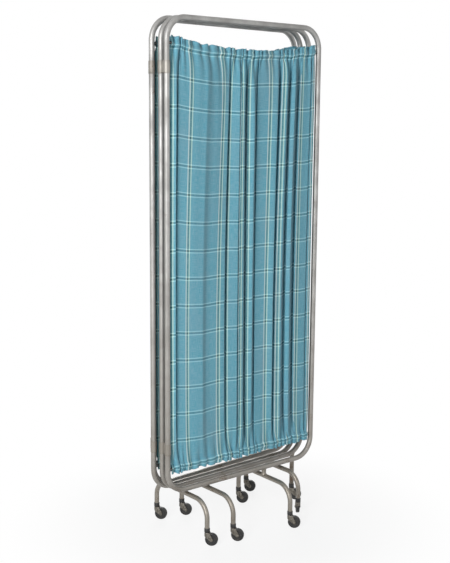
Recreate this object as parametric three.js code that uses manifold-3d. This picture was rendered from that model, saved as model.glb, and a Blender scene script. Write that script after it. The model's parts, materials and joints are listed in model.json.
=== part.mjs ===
// A folding ward screen: four tubular leaves on castors, each with a gathered curtain on two sprung wires.
// Millimetres, +Z up. The front leaf lies along +X and looks towards -Y.
// The other three leaves are folded up behind it, as they stand when the screen is put away.
import * as THREE from 'three';
import { mergeVertices } from 'three/addons/utils/BufferGeometryUtils.js';
import Module from 'manifold-3d';

const wasm = await Module();
wasm.setup();

// Driving dimensions of the leaves
const LEAF_WIDTH = 663; // between the axes of a leaf's two upright tubes
const TOP_RAIL_HEIGHT = 1770; // axis of the top rail above the floor
const BOTTOM_RAIL_HEIGHT = 185; // axis of the bottom rail above the floor
const TUBE_RADIUS = 9.5;
const CORNER_RADIUS = 72; // of the tube's axis
const CLEARANCE = 0.3; // between pieces that touch or turn in each other

// Driving dimensions of the hinges
const HINGE_PITCH = 31; // between the axes of the two tubes that a hinge bracket joins
const HINGE_HEIGHT = 38;
const UPPER_HINGE_DROP = 71; // from the top hooks down to the middle of the upper brackets
const LOWER_HINGE_RISE = 76; // from the bottom hooks up to the middle of the lower brackets
const SLEEVE_WALL = 1.5;
const WEB_THICKNESS = 5;

// How the leaves stand when folded: directions in the plan, in degrees from +X
const LEAF_TURNS = [0, 1.7, 1.6, 3.6];
const LINK_TURNS = [91, 123, 57];

// Driving dimensions of the feet
const LEG_RADIUS = 8.5;
const ARCH_HALF_SPAN = 147; // from the leaf's plane to a leg's axis
const ARCH_BEND_RADIUS = 60;
const ARCH_DROP = 33; // from the bottom rail's axis down to that of the arch's level top
const COLLAR_HEIGHT = 15;
const COLLAR_RADIUS = 9.9;
const SECOND_FOOT_PLACE = 196; // along the leaf, from its left tube
const THIRD_LEFT_FOOT_PLACE = 118;
const FRONT_FOOT_INSET = 231; // from the leaf's right tube
const THIRD_RIGHT_FOOT_INSET = 111;
const SECOND_POST_INSET = 46;

// Driving dimensions of the castors
const WHEEL_RADIUS = 22.5;
const WHEEL_WIDTH = 13;
const TREAD_CHAMFER = 2;
const TRAIL = 15.6; // from the stem's axis back to the axle
const AXLE_RADIUS = 2.5;
const AXLE_HEAD_RADIUS = 3.8;
const AXLE_HEAD_THICKNESS = 1.6;
const CHEEK_THICKNESS = 2.2;
const CHEEK_GAP = 0.8; // between a wheel's face and the cheek beside it
const TYRE_GAP = 1.3; // between the tread and the crown of the fork
const CROWN_THICKNESS = 0.9;
const FORK_SKIRT_HEIGHT = 34; // lower edge of the fork's rounded front
const AXLE_EYE_RADIUS = 6.5; // the cheek's round end about the axle
const STEM_RADIUS = 4;
const STEM_LENGTH = 38;
const TRAIL_TURN = -47; // the way the castors trail, in degrees from +X
const ODD_TRAIL_TURN = 52; // the one castor that is turned away from the rest

// Driving dimensions of the curtains and their wires
const TOP_HOOK_DROP = 13; // below the frame's upper corners
const BOTTOM_HOOK_RISE = 9; // above its lower corners
const HOOK_REACH = 14; // from the tube's axis to the hook's upturned end
const HOOK_RADIUS = 1.6;
const HOOK_BEND_RADIUS = 3;
const HOOK_RISE = 8;
const EYE_RADIUS = 3.3; // of the eye's wire axis
const EYE_WIRE_RADIUS = 1;
const WIRE_RADIUS = 1.9;
const TOP_WIRE_SAG = 25;
const BOTTOM_WIRE_SAG = 1;
const HEADING_INSET = 21; // from a tube's axis to the curtain's gathered heading
const EDGE_INSET = 12.5; // from a tube's axis to the curtain's edge lower down
const RIGHT_EDGE_BOW = 13; // how far the curtain's right edge is drawn in at mid height
const TOP_FRILL = 19; // above the wire
const BOTTOM_FRILL = 20; // below the wire
const CASING_DEPTH = 14; // from the wire to where the folds hang free
const CASING_HALF_THICKNESS = 4.7;
const FABRIC_HALF_THICKNESS = 1.5;
const FOLD_DEPTH = 8.6;
const HEADING_FOLD_DEPTH = 4.2;
const CASING_FOLD_DEPTH = 0.9;

// Widths of the main folds and where they lie, as shares of the curtain's width, by leaf
const FOLD_WIDTH_SHARES = [
  [1.2, 1.5, 0.9, 1.3, 0.8, 0.9, 0.7, 1.0, 0.8, 0.9, 1.2],
  [1.0, 0.8, 1.2, 1.0, 1.4, 0.7, 1.0, 1.2, 0.8, 1.1, 0.9],
  [0.9, 1.1, 0.8, 1.3, 1.0, 0.9, 1.2, 0.8, 1.1, 0.9, 1.0],
  [1.1, 0.9, 1.0, 0.8, 1.2, 1.1, 0.9, 1.0, 1.3, 0.8, 0.9],
];
const FOLD_DEPTH_SHARES = [0.75, 0.5, 1.0, 0.65, 0.9, 1.0, 0.8, 0.95, 0.7, 1.0, 0.6];
const CREST_SHARE = 0.4; // a fold's crest, from its valley, as a share of its width
const SHOULDER_SHARE = 0.72; // where the fold turns down to the next valley
const SHOULDER_DEPTH_SHARE = 0.65;
const HANG_HEIGHT_SHARES = [0.66, 0.3]; // of the free drop, for the rows between the two wires
const HANG_DEPTH_SHARES = [1.0, 0.85];

// Facets
const TUBE_SIDES = 10;
const CORNER_STEPS = 5;
const ARCH_STEPS = 5;
const HOOK_SIDES = 5;
const HOOK_BEND_STEPS = 2;
const EYE_SEGMENTS = 7;
const EYE_SIDES = 4;
const WIRE_SIDES = 6;
const WIRE_STEPS = 6;
const WHEEL_SIDES = 18;
const AXLE_SIDES = 6;
const STEM_SIDES = 8;
const FORK_ARC_STEPS = 4;

// Heights that follow from the sizes above
const TOP_HOOK_HEIGHT = TOP_RAIL_HEIGHT - CORNER_RADIUS - TOP_HOOK_DROP;
const BOTTOM_HOOK_HEIGHT = BOTTOM_RAIL_HEIGHT + CORNER_RADIUS + BOTTOM_HOOK_RISE;
const UPPER_HINGE_HEIGHT = TOP_HOOK_HEIGHT - UPPER_HINGE_DROP;
const LOWER_HINGE_HEIGHT = BOTTOM_HOOK_HEIGHT + LOWER_HINGE_RISE;
const ARCH_CROWN_HEIGHT = BOTTOM_RAIL_HEIGHT - ARCH_DROP;
const LEG_FOOT_HEIGHT = 2 * WHEEL_RADIUS + TYRE_GAP + CROWN_THICKNESS + CLEARANCE; // lower end of every leg

const QUARTER_TURN = Math.PI / 2;
const HALF_TURN = Math.PI;
const FULL_TURN = 2 * Math.PI;

const material = (color, roughness, metalness) => new THREE.MeshStandardMaterial({ color, roughness, metalness });
const WORN_STEEL = material(0x8d8a80, 0.42, 0.85);
const ZINC = material(0x8a867c, 0.5, 0.8);
const TYRE_BLACK = material(0x161719, 0.6, 0.0);
const SPRING_STEEL = material(0x55585a, 0.45, 0.8);
const CHECKED_CLOTH = material(0x6f9fae, 0.9, 0.0);

// A closed mesh as a solid that can be joined or cut. Corners closer than this are one.
const MERGE_DISTANCE = 1e-4;
function solidOf(geometry) {
  const bare = geometry.index ? geometry.toNonIndexed() : geometry.clone();
  bare.deleteAttribute('normal');
  bare.deleteAttribute('uv');
  const merged = mergeVertices(bare, MERGE_DISTANCE);
  return new wasm.Manifold(
    new wasm.Mesh({
      numProp: 3,
      vertProperties: merged.attributes.position.array,
      triVerts: new Uint32Array(merged.index.array),
    }),
  );
}

function geometryOf(solid) {
  const mesh = solid.getMesh();
  const points = new Float32Array(mesh.numVert * 3);
  for (let i = 0; i < mesh.numVert; i += 1) {
    const start = i * mesh.numProp;
    points.set(mesh.vertProperties.subarray(start, start + 3), i * 3);
  }
  const geometry = new THREE.BufferGeometry();
  geometry.setAttribute('position', new THREE.BufferAttribute(points, 3));
  geometry.setIndex(new THREE.BufferAttribute(mesh.triVerts, 1));
  geometry.computeVertexNormals();
  return geometry;
}

const joined = (geometries) => geometries.map(solidOf).reduce((all, one) => all.add(one));

// The first geometries joined, less the others.
function shaped(kept, removed) {
  const left = removed.map(solidOf).reduce((all, one) => all.subtract(one), joined(kept));
  return geometryOf(left);
}

// The radius of the corners of a regular polygon whose flats lie at the given radius.
const cornerRadius = (flatRadius, sides) => flatRadius / Math.cos(HALF_TURN / sides);

// A path through stations, each a point and the direction there, with one step from each to the next.
class StationPath extends THREE.Curve {
  constructor(stations) {
    super();
    this.stations = stations;
  }

  blend(key, share) {
    const whole = share * (this.stations.length - 1);
    const first = Math.min(Math.floor(whole), this.stations.length - 2);
    return this.stations[first][key].clone().lerp(this.stations[first + 1][key], whole - first);
  }

  getPoint(share) {
    return this.blend('point', share);
  }

  getPointAt(share) {
    return this.blend('point', share);
  }

  getTangent(share) {
    return this.blend('direction', share).normalize();
  }

  getTangentAt(share) {
    return this.getTangent(share);
  }
}

// The stations of a quarter-like bend in a vertical plane, from one heading to another.
// Headings are angles from the plane's level axis towards +Z; toPoint places the plane in space.
function bendStations(centre, radius, startHeading, endHeading, steps, toPoint) {
  const side = Math.sign(endHeading - startHeading);
  return Array.from({ length: steps + 1 }, (_, i) => {
    const heading = startHeading + ((endHeading - startHeading) * i) / steps;
    const along = centre[0] + side * radius * Math.sin(heading);
    const rise = centre[1] - side * radius * Math.cos(heading);
    return { point: toPoint(along, rise), direction: toPoint(Math.cos(heading), Math.sin(heading)) };
  });
}

const inLeafPlane = (along, rise) => new THREE.Vector3(along, 0, rise);
const acrossLeaf = (along, rise) => new THREE.Vector3(0, along, rise);
const station = (point, direction) => ({ point, direction });

function polygonShape(radius, sides) {
  const corners = Array.from({ length: sides }, (_, i) => {
    const angle = (FULL_TURN * (i + 1 / 2)) / sides;
    return new THREE.Vector2(radius * Math.cos(angle), radius * Math.sin(angle));
  });
  return new THREE.Shape(corners);
}

// A solid round bar along a path of stations, with flat ends.
function bar(stations, radius, sides) {
  return new THREE.ExtrudeGeometry(polygonShape(radius, sides), {
    steps: stations.length - 1,
    extrudePath: new StationPath(stations),
  });
}

// An upright cylinder between two heights.
function upright(radius, low, high, sides, x = 0, y = 0) {
  const cylinder = new THREE.CylinderGeometry(radius, radius, high - low, sides);
  cylinder.rotateX(QUARTER_TURN);
  cylinder.rotateZ(HALF_TURN / sides);
  return cylinder.translate(x, y, (low + high) / 2);
}

// A level cylinder along X or Y about the given middle.
function level(radius, length, sides, alongX, middle) {
  const cylinder = new THREE.CylinderGeometry(radius, radius, length, sides);
  cylinder.rotateY(HALF_TURN / sides);
  if (alongX) cylinder.rotateZ(QUARTER_TURN);
  return cylinder.translate(middle.x, middle.y, middle.z);
}

function block(low, high) {
  const size = high.clone().sub(low);
  const middle = high.clone().add(low).multiplyScalar(1 / 2);
  return new THREE.BoxGeometry(size.x, size.y, size.z).translate(middle.x, middle.y, middle.z);
}

// The tube of one leaf, or a fatter one that stands for it in a cut: a rectangle with round corners.
function leafLoop(radius) {
  const corners = [
    [LEAF_WIDTH - CORNER_RADIUS, BOTTOM_RAIL_HEIGHT + CORNER_RADIUS, 0],
    [LEAF_WIDTH - CORNER_RADIUS, TOP_RAIL_HEIGHT - CORNER_RADIUS, QUARTER_TURN],
    [CORNER_RADIUS, TOP_RAIL_HEIGHT - CORNER_RADIUS, HALF_TURN],
    [CORNER_RADIUS, BOTTOM_RAIL_HEIGHT + CORNER_RADIUS, HALF_TURN + QUARTER_TURN],
  ];
  const stations = corners.flatMap(([along, rise, heading]) =>
    bendStations([along, rise], CORNER_RADIUS, heading, heading + QUARTER_TURN, CORNER_STEPS, inLeafPlane),
  );
  const path = new StationPath([...stations, stations[0]]);
  return new THREE.TubeGeometry(path, stations.length, radius, TUBE_SIDES, true);
}

// A hook that stands out from an upright tube and turns up at its end.
function wireHook(tubeX, inward, height) {
  const bendStart = HOOK_REACH - HOOK_BEND_RADIUS;
  const toPoint = (along, rise) => new THREE.Vector3(inward * along, 0, rise);
  const bend = bendStations(
    [bendStart, HOOK_BEND_RADIUS],
    HOOK_BEND_RADIUS,
    0,
    QUARTER_TURN,
    HOOK_BEND_STEPS,
    toPoint,
  );
  const stations = [
    station(toPoint(0, 0), toPoint(1, 0)),
    ...bend,
    station(toPoint(HOOK_REACH, HOOK_RISE), toPoint(0, 1)),
  ];
  return bar(stations, HOOK_RADIUS, HOOK_SIDES).translate(tubeX, 0, height);
}

// The rings beaten up on a tube that keep a hinge sleeve from sliding down.
const RING_HEIGHT = 3;
const RING_STAND_OUT = 1;
function stopRing(tubeX, hingeHeight) {
  const high = hingeHeight - HINGE_HEIGHT / 2 - CLEARANCE;
  return upright(TUBE_RADIUS + RING_STAND_OUT, high - RING_HEIGHT, high, TUBE_SIDES, tubeX);
}

function frameGeometry(hingedSides) {
  const hooks = [TOP_HOOK_HEIGHT, BOTTOM_HOOK_HEIGHT].flatMap((height) => [
    wireHook(0, 1, height),
    wireHook(LEAF_WIDTH, -1, height),
  ]);
  const rings = hingedSides.flatMap((tubeX) => [
    stopRing(tubeX, UPPER_HINGE_HEIGHT),
    stopRing(tubeX, LOWER_HINGE_HEIGHT),
  ]);
  return shaped([leafLoop(TUBE_RADIUS), ...hooks, ...rings], []);
}

// The height of a wire's eyes, just above the hooks that they drop over.
const EYE_RISE = HOOK_RADIUS + CLEARANCE + EYE_WIRE_RADIUS;
const WIRE_START = HOOK_REACH + EYE_RADIUS;

const wireSagAt = (share, sag) => 4 * sag * share * (1 - share);

// The stations of a wire from eye to eye, or past both ends by an overrun.
function wireStations(hookHeight, sag, overrun) {
  const height = hookHeight + EYE_RISE;
  const span = LEAF_WIDTH - 2 * WIRE_START;
  const points = Array.from({ length: WIRE_STEPS + 1 }, (_, i) => {
    const share = i / WIRE_STEPS;
    return new THREE.Vector3(WIRE_START + span * share, 0, height - wireSagAt(share, sag));
  });
  const run = (from, to) => to.clone().sub(from).normalize();
  const stations = points.map((point, i) => {
    const before = points[Math.max(i - 1, 0)];
    const after = points[Math.min(i + 1, WIRE_STEPS)];
    return station(point, run(before, after));
  });
  const first = stations[0];
  const last = stations[WIRE_STEPS];
  first.point.addScaledVector(first.direction, -overrun);
  last.point.addScaledVector(last.direction, overrun);
  return stations;
}

// A sprung curtain wire with a round eye at each end.
function wireGeometry(hookHeight, sag) {
  const eyes = [HOOK_REACH, LEAF_WIDTH - HOOK_REACH].map((x) => {
    const ring = new THREE.TorusGeometry(EYE_RADIUS, EYE_WIRE_RADIUS, EYE_SIDES, EYE_SEGMENTS);
    return ring.translate(x, 0, hookHeight + EYE_RISE);
  });
  return shaped([bar(wireStations(hookHeight, sag, 0), WIRE_RADIUS, WIRE_SIDES), ...eyes], []);
}

// Places across one curtain, as shares of its width, with how far each stands forward of the valleys.
function foldColumns(leaf) {
  const widths = FOLD_WIDTH_SHARES[leaf];
  const total = widths.reduce((sum, one) => sum + one, 0);
  const columns = [];
  let start = 0;
  widths.forEach((width, fold) => {
    const depth = FOLD_DEPTH_SHARES[(fold + leaf) % FOLD_DEPTH_SHARES.length];
    columns.push({ share: start / total, forward: -depth });
    columns.push({ share: (start + CREST_SHARE * width) / total, forward: depth });
    columns.push({ share: (start + SHOULDER_SHARE * width) / total, forward: SHOULDER_DEPTH_SHARE * depth });
    start += width;
  });
  columns.push({ share: 1, forward: -FOLD_DEPTH_SHARES[leaf] });
  return columns;
}

// The curtain's rows from the top frill to the bottom one: height at a place, fold depth and half thickness.
function curtainRows() {
  const topWire = (share) => TOP_HOOK_HEIGHT + EYE_RISE - wireSagAt(share, TOP_WIRE_SAG);
  const bottomWire = (share) => BOTTOM_HOOK_HEIGHT + EYE_RISE - wireSagAt(share, BOTTOM_WIRE_SAG);
  const row = (height, depth, half, drawnIn) => ({ height, depth, half, drawnIn });
  const hanging = HANG_HEIGHT_SHARES.map((rise, i) => {
    const height = (share) => bottomWire(share) + rise * (topWire(share) - bottomWire(share));
    return row(height, FOLD_DEPTH * HANG_DEPTH_SHARES[i], FABRIC_HALF_THICKNESS, 0);
  });
  return [
    row((share) => topWire(share) + TOP_FRILL, HEADING_FOLD_DEPTH, FABRIC_HALF_THICKNESS, 1),
    row(topWire, CASING_FOLD_DEPTH, CASING_HALF_THICKNESS, 1),
    row((share) => topWire(share) - CASING_DEPTH, HEADING_FOLD_DEPTH, FABRIC_HALF_THICKNESS, 1),
    ...hanging,
    row((share) => bottomWire(share) + CASING_DEPTH, HEADING_FOLD_DEPTH, FABRIC_HALF_THICKNESS, 1),
    row(bottomWire, CASING_FOLD_DEPTH, CASING_HALF_THICKNESS, 1),
    row((share) => bottomWire(share) - BOTTOM_FRILL, HEADING_FOLD_DEPTH, FABRIC_HALF_THICKNESS, 1),
  ];
}

// One curtain as a thick folded sheet. Its two casings are bored for the wires.
function curtainGeometry(leaf) {
  const columns = foldColumns(leaf);
  const rows = curtainRows();
  const points = [];
  for (const face of [-1, 1]) {
    for (const { height, depth, half, drawnIn } of rows) {
      const left = drawnIn ? HEADING_INSET : EDGE_INSET;
      const right = LEAF_WIDTH - (drawnIn ? HEADING_INSET : EDGE_INSET + RIGHT_EDGE_BOW);
      for (const { share, forward } of columns) {
        points.push(left + (right - left) * share, face * half - depth * forward, height(share));
      }
    }
  }
  const across = columns.length;
  const back = rows.length * across;
  const index = [];
  const quad = (a, b, c, d) => index.push(a, b, c, a, c, d);
  for (let r = 0; r < rows.length - 1; r += 1) {
    for (let c = 0; c < across - 1; c += 1) {
      const a = r * across + c;
      const below = a + across;
      quad(a, below, below + 1, a + 1);
      quad(back + a, back + a + 1, back + below + 1, back + below);
    }
  }
  for (let c = 0; c < across - 1; c += 1) {
    const last = (rows.length - 1) * across + c;
    quad(c, c + 1, back + c + 1, back + c);
    quad(last + 1, last, back + last, back + last + 1);
  }
  for (let r = 0; r < rows.length - 1; r += 1) {
    const leftEdge = r * across;
    const rightEdge = leftEdge + across - 1;
    quad(leftEdge + across, leftEdge, back + leftEdge, back + leftEdge + across);
    quad(rightEdge, rightEdge + across, back + rightEdge + across, back + rightEdge);
  }
  const sheet = new THREE.BufferGeometry();
  sheet.setAttribute('position', new THREE.BufferAttribute(new Float32Array(points), 3));
  sheet.setIndex(index);
  const boreRadius = cornerRadius(WIRE_RADIUS + CLEARANCE, WIRE_SIDES);
  const bores = [
    bar(wireStations(TOP_HOOK_HEIGHT, TOP_WIRE_SAG, EYE_RADIUS), boreRadius, WIRE_SIDES),
    bar(wireStations(BOTTOM_HOOK_HEIGHT, BOTTOM_WIRE_SAG, EYE_RADIUS), boreRadius, WIRE_SIDES),
  ];
  return shaped([sheet], bores);
}

// A hinge bracket: two sleeves joined by a web, about its first tube's axis.
function bracketGeometry(height) {
  const low = height - HINGE_HEIGHT / 2;
  const high = height + HINGE_HEIGHT / 2;
  const boreRadius = cornerRadius(TUBE_RADIUS + CLEARANCE, TUBE_SIDES);
  const outerRadius = boreRadius + SLEEVE_WALL;
  const sleeves = [0, HINGE_PITCH].map((x) => upright(outerRadius, low, high, TUBE_SIDES, x));
  const bores = [0, HINGE_PITCH].map((x) =>
    upright(boreRadius, low - SLEEVE_WALL, high + SLEEVE_WALL, TUBE_SIDES, x),
  );
  const web = block(
    new THREE.Vector3(TUBE_RADIUS, -WEB_THICKNESS / 2, low),
    new THREE.Vector3(HINGE_PITCH - TUBE_RADIUS, WEB_THICKNESS / 2, high),
  );
  return shaped([...sleeves, web], bores);
}

// The socket in the lower end of a leg, and the collar pressed on outside it.
const SOCKET_DEPTH = STEM_LENGTH + CLEARANCE;
const socketBore = (x, y) =>
  upright(
    cornerRadius(STEM_RADIUS + CLEARANCE, STEM_SIDES),
    LEG_FOOT_HEIGHT - COLLAR_HEIGHT,
    LEG_FOOT_HEIGHT + SOCKET_DEPTH,
    STEM_SIDES,
    x,
    y,
  );
const collar = (x, y) =>
  upright(COLLAR_RADIUS, LEG_FOOT_HEIGHT, LEG_FOOT_HEIGHT + COLLAR_HEIGHT, TUBE_SIDES, x, y);

// An arch of tube across the leaf, with a leg down each side.
function archGeometry() {
  const bendTop = ARCH_HALF_SPAN - ARCH_BEND_RADIUS;
  const bendBottom = ARCH_CROWN_HEIGHT - ARCH_BEND_RADIUS;
  const stations = [
    station(acrossLeaf(-ARCH_HALF_SPAN, LEG_FOOT_HEIGHT), acrossLeaf(0, 1)),
    ...bendStations([-bendTop, bendBottom], ARCH_BEND_RADIUS, QUARTER_TURN, 0, ARCH_STEPS, acrossLeaf),
    ...bendStations([bendTop, bendBottom], ARCH_BEND_RADIUS, 0, -QUARTER_TURN, ARCH_STEPS, acrossLeaf),
    station(acrossLeaf(ARCH_HALF_SPAN, LEG_FOOT_HEIGHT), acrossLeaf(0, -1)),
  ];
  const legs = [-ARCH_HALF_SPAN, ARCH_HALF_SPAN];
  return shaped(
    [bar(stations, LEG_RADIUS, TUBE_SIDES), ...legs.map((y) => collar(0, y))],
    legs.map((y) => socketBore(0, y)),
  );
}

// The height of the bottom rail's axis at a place along the leaf, also where it turns up at a corner.
function railAxisHeight(place) {
  const past = Math.max(CORNER_RADIUS - place, place - (LEAF_WIDTH - CORNER_RADIUS), 0);
  return BOTTOM_RAIL_HEIGHT + CORNER_RADIUS - Math.sqrt(CORNER_RADIUS ** 2 - past ** 2);
}

// What the rail takes out of the upper end of a tube that stands under it at a place along the leaf.
const railCope = (place) => leafLoop(cornerRadius(TUBE_RADIUS + CLEARANCE, TUBE_SIDES)).translate(-place, 0, 0);

// The short stub between a bottom rail and an arch, coped to fit both.
function saddleGeometry(place) {
  const crown = new THREE.Vector3(0, 0, ARCH_CROWN_HEIGHT);
  const copeRadius = cornerRadius(LEG_RADIUS + CLEARANCE, TUBE_SIDES);
  const archCope = level(copeRadius, 4 * LEG_RADIUS, TUBE_SIDES, false, crown);
  const stub = upright(LEG_RADIUS, ARCH_CROWN_HEIGHT, railAxisHeight(place), TUBE_SIDES);
  return shaped([stub], [archCope, railCope(place)]);
}

// The one straight leg, coped to the rail's corner above it.
function postGeometry(place) {
  const tube = upright(LEG_RADIUS, LEG_FOOT_HEIGHT, railAxisHeight(place), TUBE_SIDES);
  return shaped([tube, collar(0, 0)], [railCope(place), socketBore(0, 0)]);
}

// The castor's parts are drawn about its stem, with the wheel trailing towards +X.
const FORK_TOP = LEG_FOOT_HEIGHT - CLEARANCE;
const FORK_INSIDE = WHEEL_WIDTH / 2 + CHEEK_GAP;
const FORK_OUTSIDE = FORK_INSIDE + CHEEK_THICKNESS;

// The fork's side view: a level crown over the stem and two arms that taper back to the axle.
function forkProfile() {
  const front = -FORK_OUTSIDE;
  const shape = new THREE.Shape();
  const reach = Math.hypot(TRAIL - front, FORK_SKIRT_HEIGHT - WHEEL_RADIUS);
  const dip = Math.atan2(FORK_SKIRT_HEIGHT - WHEEL_RADIUS, TRAIL - front);
  const lowerTangent = -QUARTER_TURN - dip + Math.asin(AXLE_EYE_RADIUS / reach);
  shape.moveTo(front, FORK_TOP);
  shape.lineTo(front, FORK_SKIRT_HEIGHT);
  shape.lineTo(
    TRAIL + AXLE_EYE_RADIUS * Math.cos(lowerTangent),
    WHEEL_RADIUS + AXLE_EYE_RADIUS * Math.sin(lowerTangent),
  );
  shape.absarc(TRAIL, WHEEL_RADIUS, AXLE_EYE_RADIUS, lowerTangent, 0, false);
  shape.lineTo(FORK_OUTSIDE, FORK_TOP);
  return shape;
}

function forkGeometry() {
  const side = new THREE.ExtrudeGeometry(forkProfile(), {
    depth: 2 * FORK_OUTSIDE,
    bevelEnabled: false,
    curveSegments: FORK_ARC_STEPS,
  });
  side.rotateX(QUARTER_TURN).translate(0, FORK_OUTSIDE, 0);
  const plan = new THREE.Shape();
  plan.moveTo(0, -FORK_OUTSIDE);
  plan.lineTo(TRAIL + 2 * AXLE_EYE_RADIUS, -FORK_OUTSIDE);
  plan.lineTo(TRAIL + 2 * AXLE_EYE_RADIUS, FORK_OUTSIDE);
  plan.lineTo(0, FORK_OUTSIDE);
  plan.absarc(0, 0, FORK_OUTSIDE, QUARTER_TURN, HALF_TURN + QUARTER_TURN, false);
  const roundFront = new THREE.ExtrudeGeometry(plan, {
    depth: LEG_FOOT_HEIGHT,
    bevelEnabled: false,
    curveSegments: FORK_ARC_STEPS,
  });
  const wheelMiddle = new THREE.Vector3(TRAIL, 0, WHEEL_RADIUS);
  const wheelRoom = cornerRadius(WHEEL_RADIUS + TYRE_GAP, WHEEL_SIDES);
  const axleHole = cornerRadius(AXLE_RADIUS + CLEARANCE, AXLE_SIDES);
  const shell = solidOf(side)
    .intersect(solidOf(roundFront))
    .subtract(solidOf(level(wheelRoom, 2 * FORK_INSIDE, WHEEL_SIDES, false, wheelMiddle)))
    .subtract(solidOf(level(axleHole, 4 * FORK_OUTSIDE, AXLE_SIDES, false, wheelMiddle)))
    .add(solidOf(upright(STEM_RADIUS, FORK_TOP - CROWN_THICKNESS / 2, FORK_TOP + STEM_LENGTH, STEM_SIDES)));
  return geometryOf(shell);
}

// A turned shape about an axle along Y. The profile is a list of [radius, place along the axle].
function turned(profile, sides) {
  const points = profile.map(([radius, along]) => new THREE.Vector2(radius, along));
  return new THREE.LatheGeometry(points, sides).rotateY(HALF_TURN / sides).translate(TRAIL, 0, WHEEL_RADIUS);
}

// A rivet through both cheeks and the wheel.
function axleGeometry() {
  const shoulder = FORK_OUTSIDE + CLEARANCE;
  const end = shoulder + AXLE_HEAD_THICKNESS;
  return turned(
    [
      [0, -end],
      [AXLE_HEAD_RADIUS, -end],
      [AXLE_HEAD_RADIUS, -shoulder],
      [AXLE_RADIUS, -shoulder],
      [AXLE_RADIUS, shoulder],
      [AXLE_HEAD_RADIUS, shoulder],
      [AXLE_HEAD_RADIUS, end],
      [0, end],
    ],
    AXLE_SIDES,
  );
}

// A solid rubber-tyred wheel whose flats, not its corners, lie at the tread's radius.
function wheelGeometry() {
  const bore = cornerRadius(AXLE_RADIUS + CLEARANCE, WHEEL_SIDES);
  const tread = cornerRadius(WHEEL_RADIUS, WHEEL_SIDES);
  const half = WHEEL_WIDTH / 2;
  return turned(
    [
      [bore, -half],
      [tread - TREAD_CHAMFER, -half],
      [tread, TREAD_CHAMFER - half],
      [tread, half - TREAD_CHAMFER],
      [tread - TREAD_CHAMFER, half],
      [bore, half],
      [bore, -half],
    ],
    WHEEL_SIDES,
  );
}

function mesh(name, geometry, look) {
  const made = new THREE.Mesh(geometry, look);
  made.name = name;
  return made;
}

const degrees = (angle) => (angle * HALF_TURN) / 180;

const forkShape = forkGeometry();
const axleShape = axleGeometry();
const wheelShape = wheelGeometry();

// A castor under a leg, trailing in a direction given in the plan of the whole screen.
function castor(number, x, y, leafTurn, trailTurn) {
  const group = new THREE.Group();
  group.name = `swivel_${number}`;
  group.position.set(x, y, 0);
  group.rotation.z = degrees(trailTurn - leafTurn);
  group.add(
    mesh(`castor_fork_${number}`, forkShape, ZINC),
    mesh(`castor_axle_${number}`, axleShape, ZINC),
    mesh(`castor_wheel_${number}`, wheelShape, TYRE_BLACK),
  );
  return group;
}

const archShape = archGeometry();

// An arch foot with its saddle and two castors, at a place along its leaf.
function archFoot(name, place, leafTurn, rearCastor, frontCastor, frontTrailTurn) {
  const group = new THREE.Group();
  group.position.x = place;
  group.add(
    mesh(`arch_foot_${name}`, archShape, WORN_STEEL),
    mesh(`saddle_${name}`, saddleGeometry(place), WORN_STEEL),
    castor(rearCastor, 0, ARCH_HALF_SPAN, leafTurn, TRAIL_TURN),
    castor(frontCastor, 0, -ARCH_HALF_SPAN, leafTurn, frontTrailTurn),
  );
  return group;
}

function postFoot(place, leafTurn, castorNumber) {
  const group = new THREE.Group();
  group.position.x = place;
  group.add(mesh('post', postGeometry(place), WORN_STEEL), castor(castorNumber, 0, 0, leafTurn, TRAIL_TURN));
  return group;
}

// What every leaf has: its frame, its two wires and its curtain.
const topWireShape = wireGeometry(TOP_HOOK_HEIGHT, TOP_WIRE_SAG);
const bottomWireShape = wireGeometry(BOTTOM_HOOK_HEIGHT, BOTTOM_WIRE_SAG);
function leafPieces(leaf, hingedSides) {
  const number = leaf + 1;
  return [
    mesh(`frame_${number}`, frameGeometry(hingedSides), WORN_STEEL),
    mesh(`top_wire_${number}`, topWireShape, SPRING_STEEL),
    mesh(`bottom_wire_${number}`, bottomWireShape, SPRING_STEEL),
    mesh(`curtain_${number}`, curtainGeometry(leaf), CHECKED_CLOTH),
  ];
}

const upperBracketShape = bracketGeometry(UPPER_HINGE_HEIGHT);
const lowerBracketShape = bracketGeometry(LOWER_HINGE_HEIGHT);

// The pair of brackets between two leaves. The group's axis is that of the first leaf's tube.
function hingeLink(name, turn) {
  const group = new THREE.Group();
  group.name = `link_${name}`;
  group.rotation.z = turn;
  group.add(
    mesh(`upper_hinge_${name}`, upperBracketShape, WORN_STEEL),
    mesh(`lower_hinge_${name}`, lowerBracketShape, WORN_STEEL),
  );
  return group;
}

// Each leaf's group has its axis on the tube by which it is hung, and its pieces start at its left tube.
function leafGroup(leaf, hungBy, pieces) {
  const group = new THREE.Group();
  const inner = new THREE.Group();
  group.name = `leaf_${leaf + 1}`;
  inner.position.x = -hungBy;
  inner.add(...pieces);
  group.add(inner);
  return group;
}

const [turn1, turn2, turn3, turn4] = LEAF_TURNS;
const [linkTurn1, linkTurn2, linkTurn3] = LINK_TURNS;

const leaf1 = leafGroup(0, 0, [
  ...leafPieces(0, [0]),
  archFoot('1', LEAF_WIDTH - FRONT_FOOT_INSET, turn1, 5, 7, TRAIL_TURN),
]);
const leaf2 = leafGroup(1, 0, [
  ...leafPieces(1, [0, LEAF_WIDTH]),
  archFoot('2', SECOND_FOOT_PLACE, turn2, 2, 4, TRAIL_TURN),
  postFoot(LEAF_WIDTH - SECOND_POST_INSET, turn2, 9),
]);
const leaf3 = leafGroup(2, LEAF_WIDTH, [
  ...leafPieces(2, [0, LEAF_WIDTH]),
  archFoot('3_left', THIRD_LEFT_FOOT_PLACE, turn3, 1, 3, TRAIL_TURN),
  archFoot('3_right', LEAF_WIDTH - THIRD_RIGHT_FOOT_INSET, turn3, 6, 8, ODD_TRAIL_TURN),
]);
const leaf4 = leafGroup(3, 0, leafPieces(3, [0]));

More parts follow.
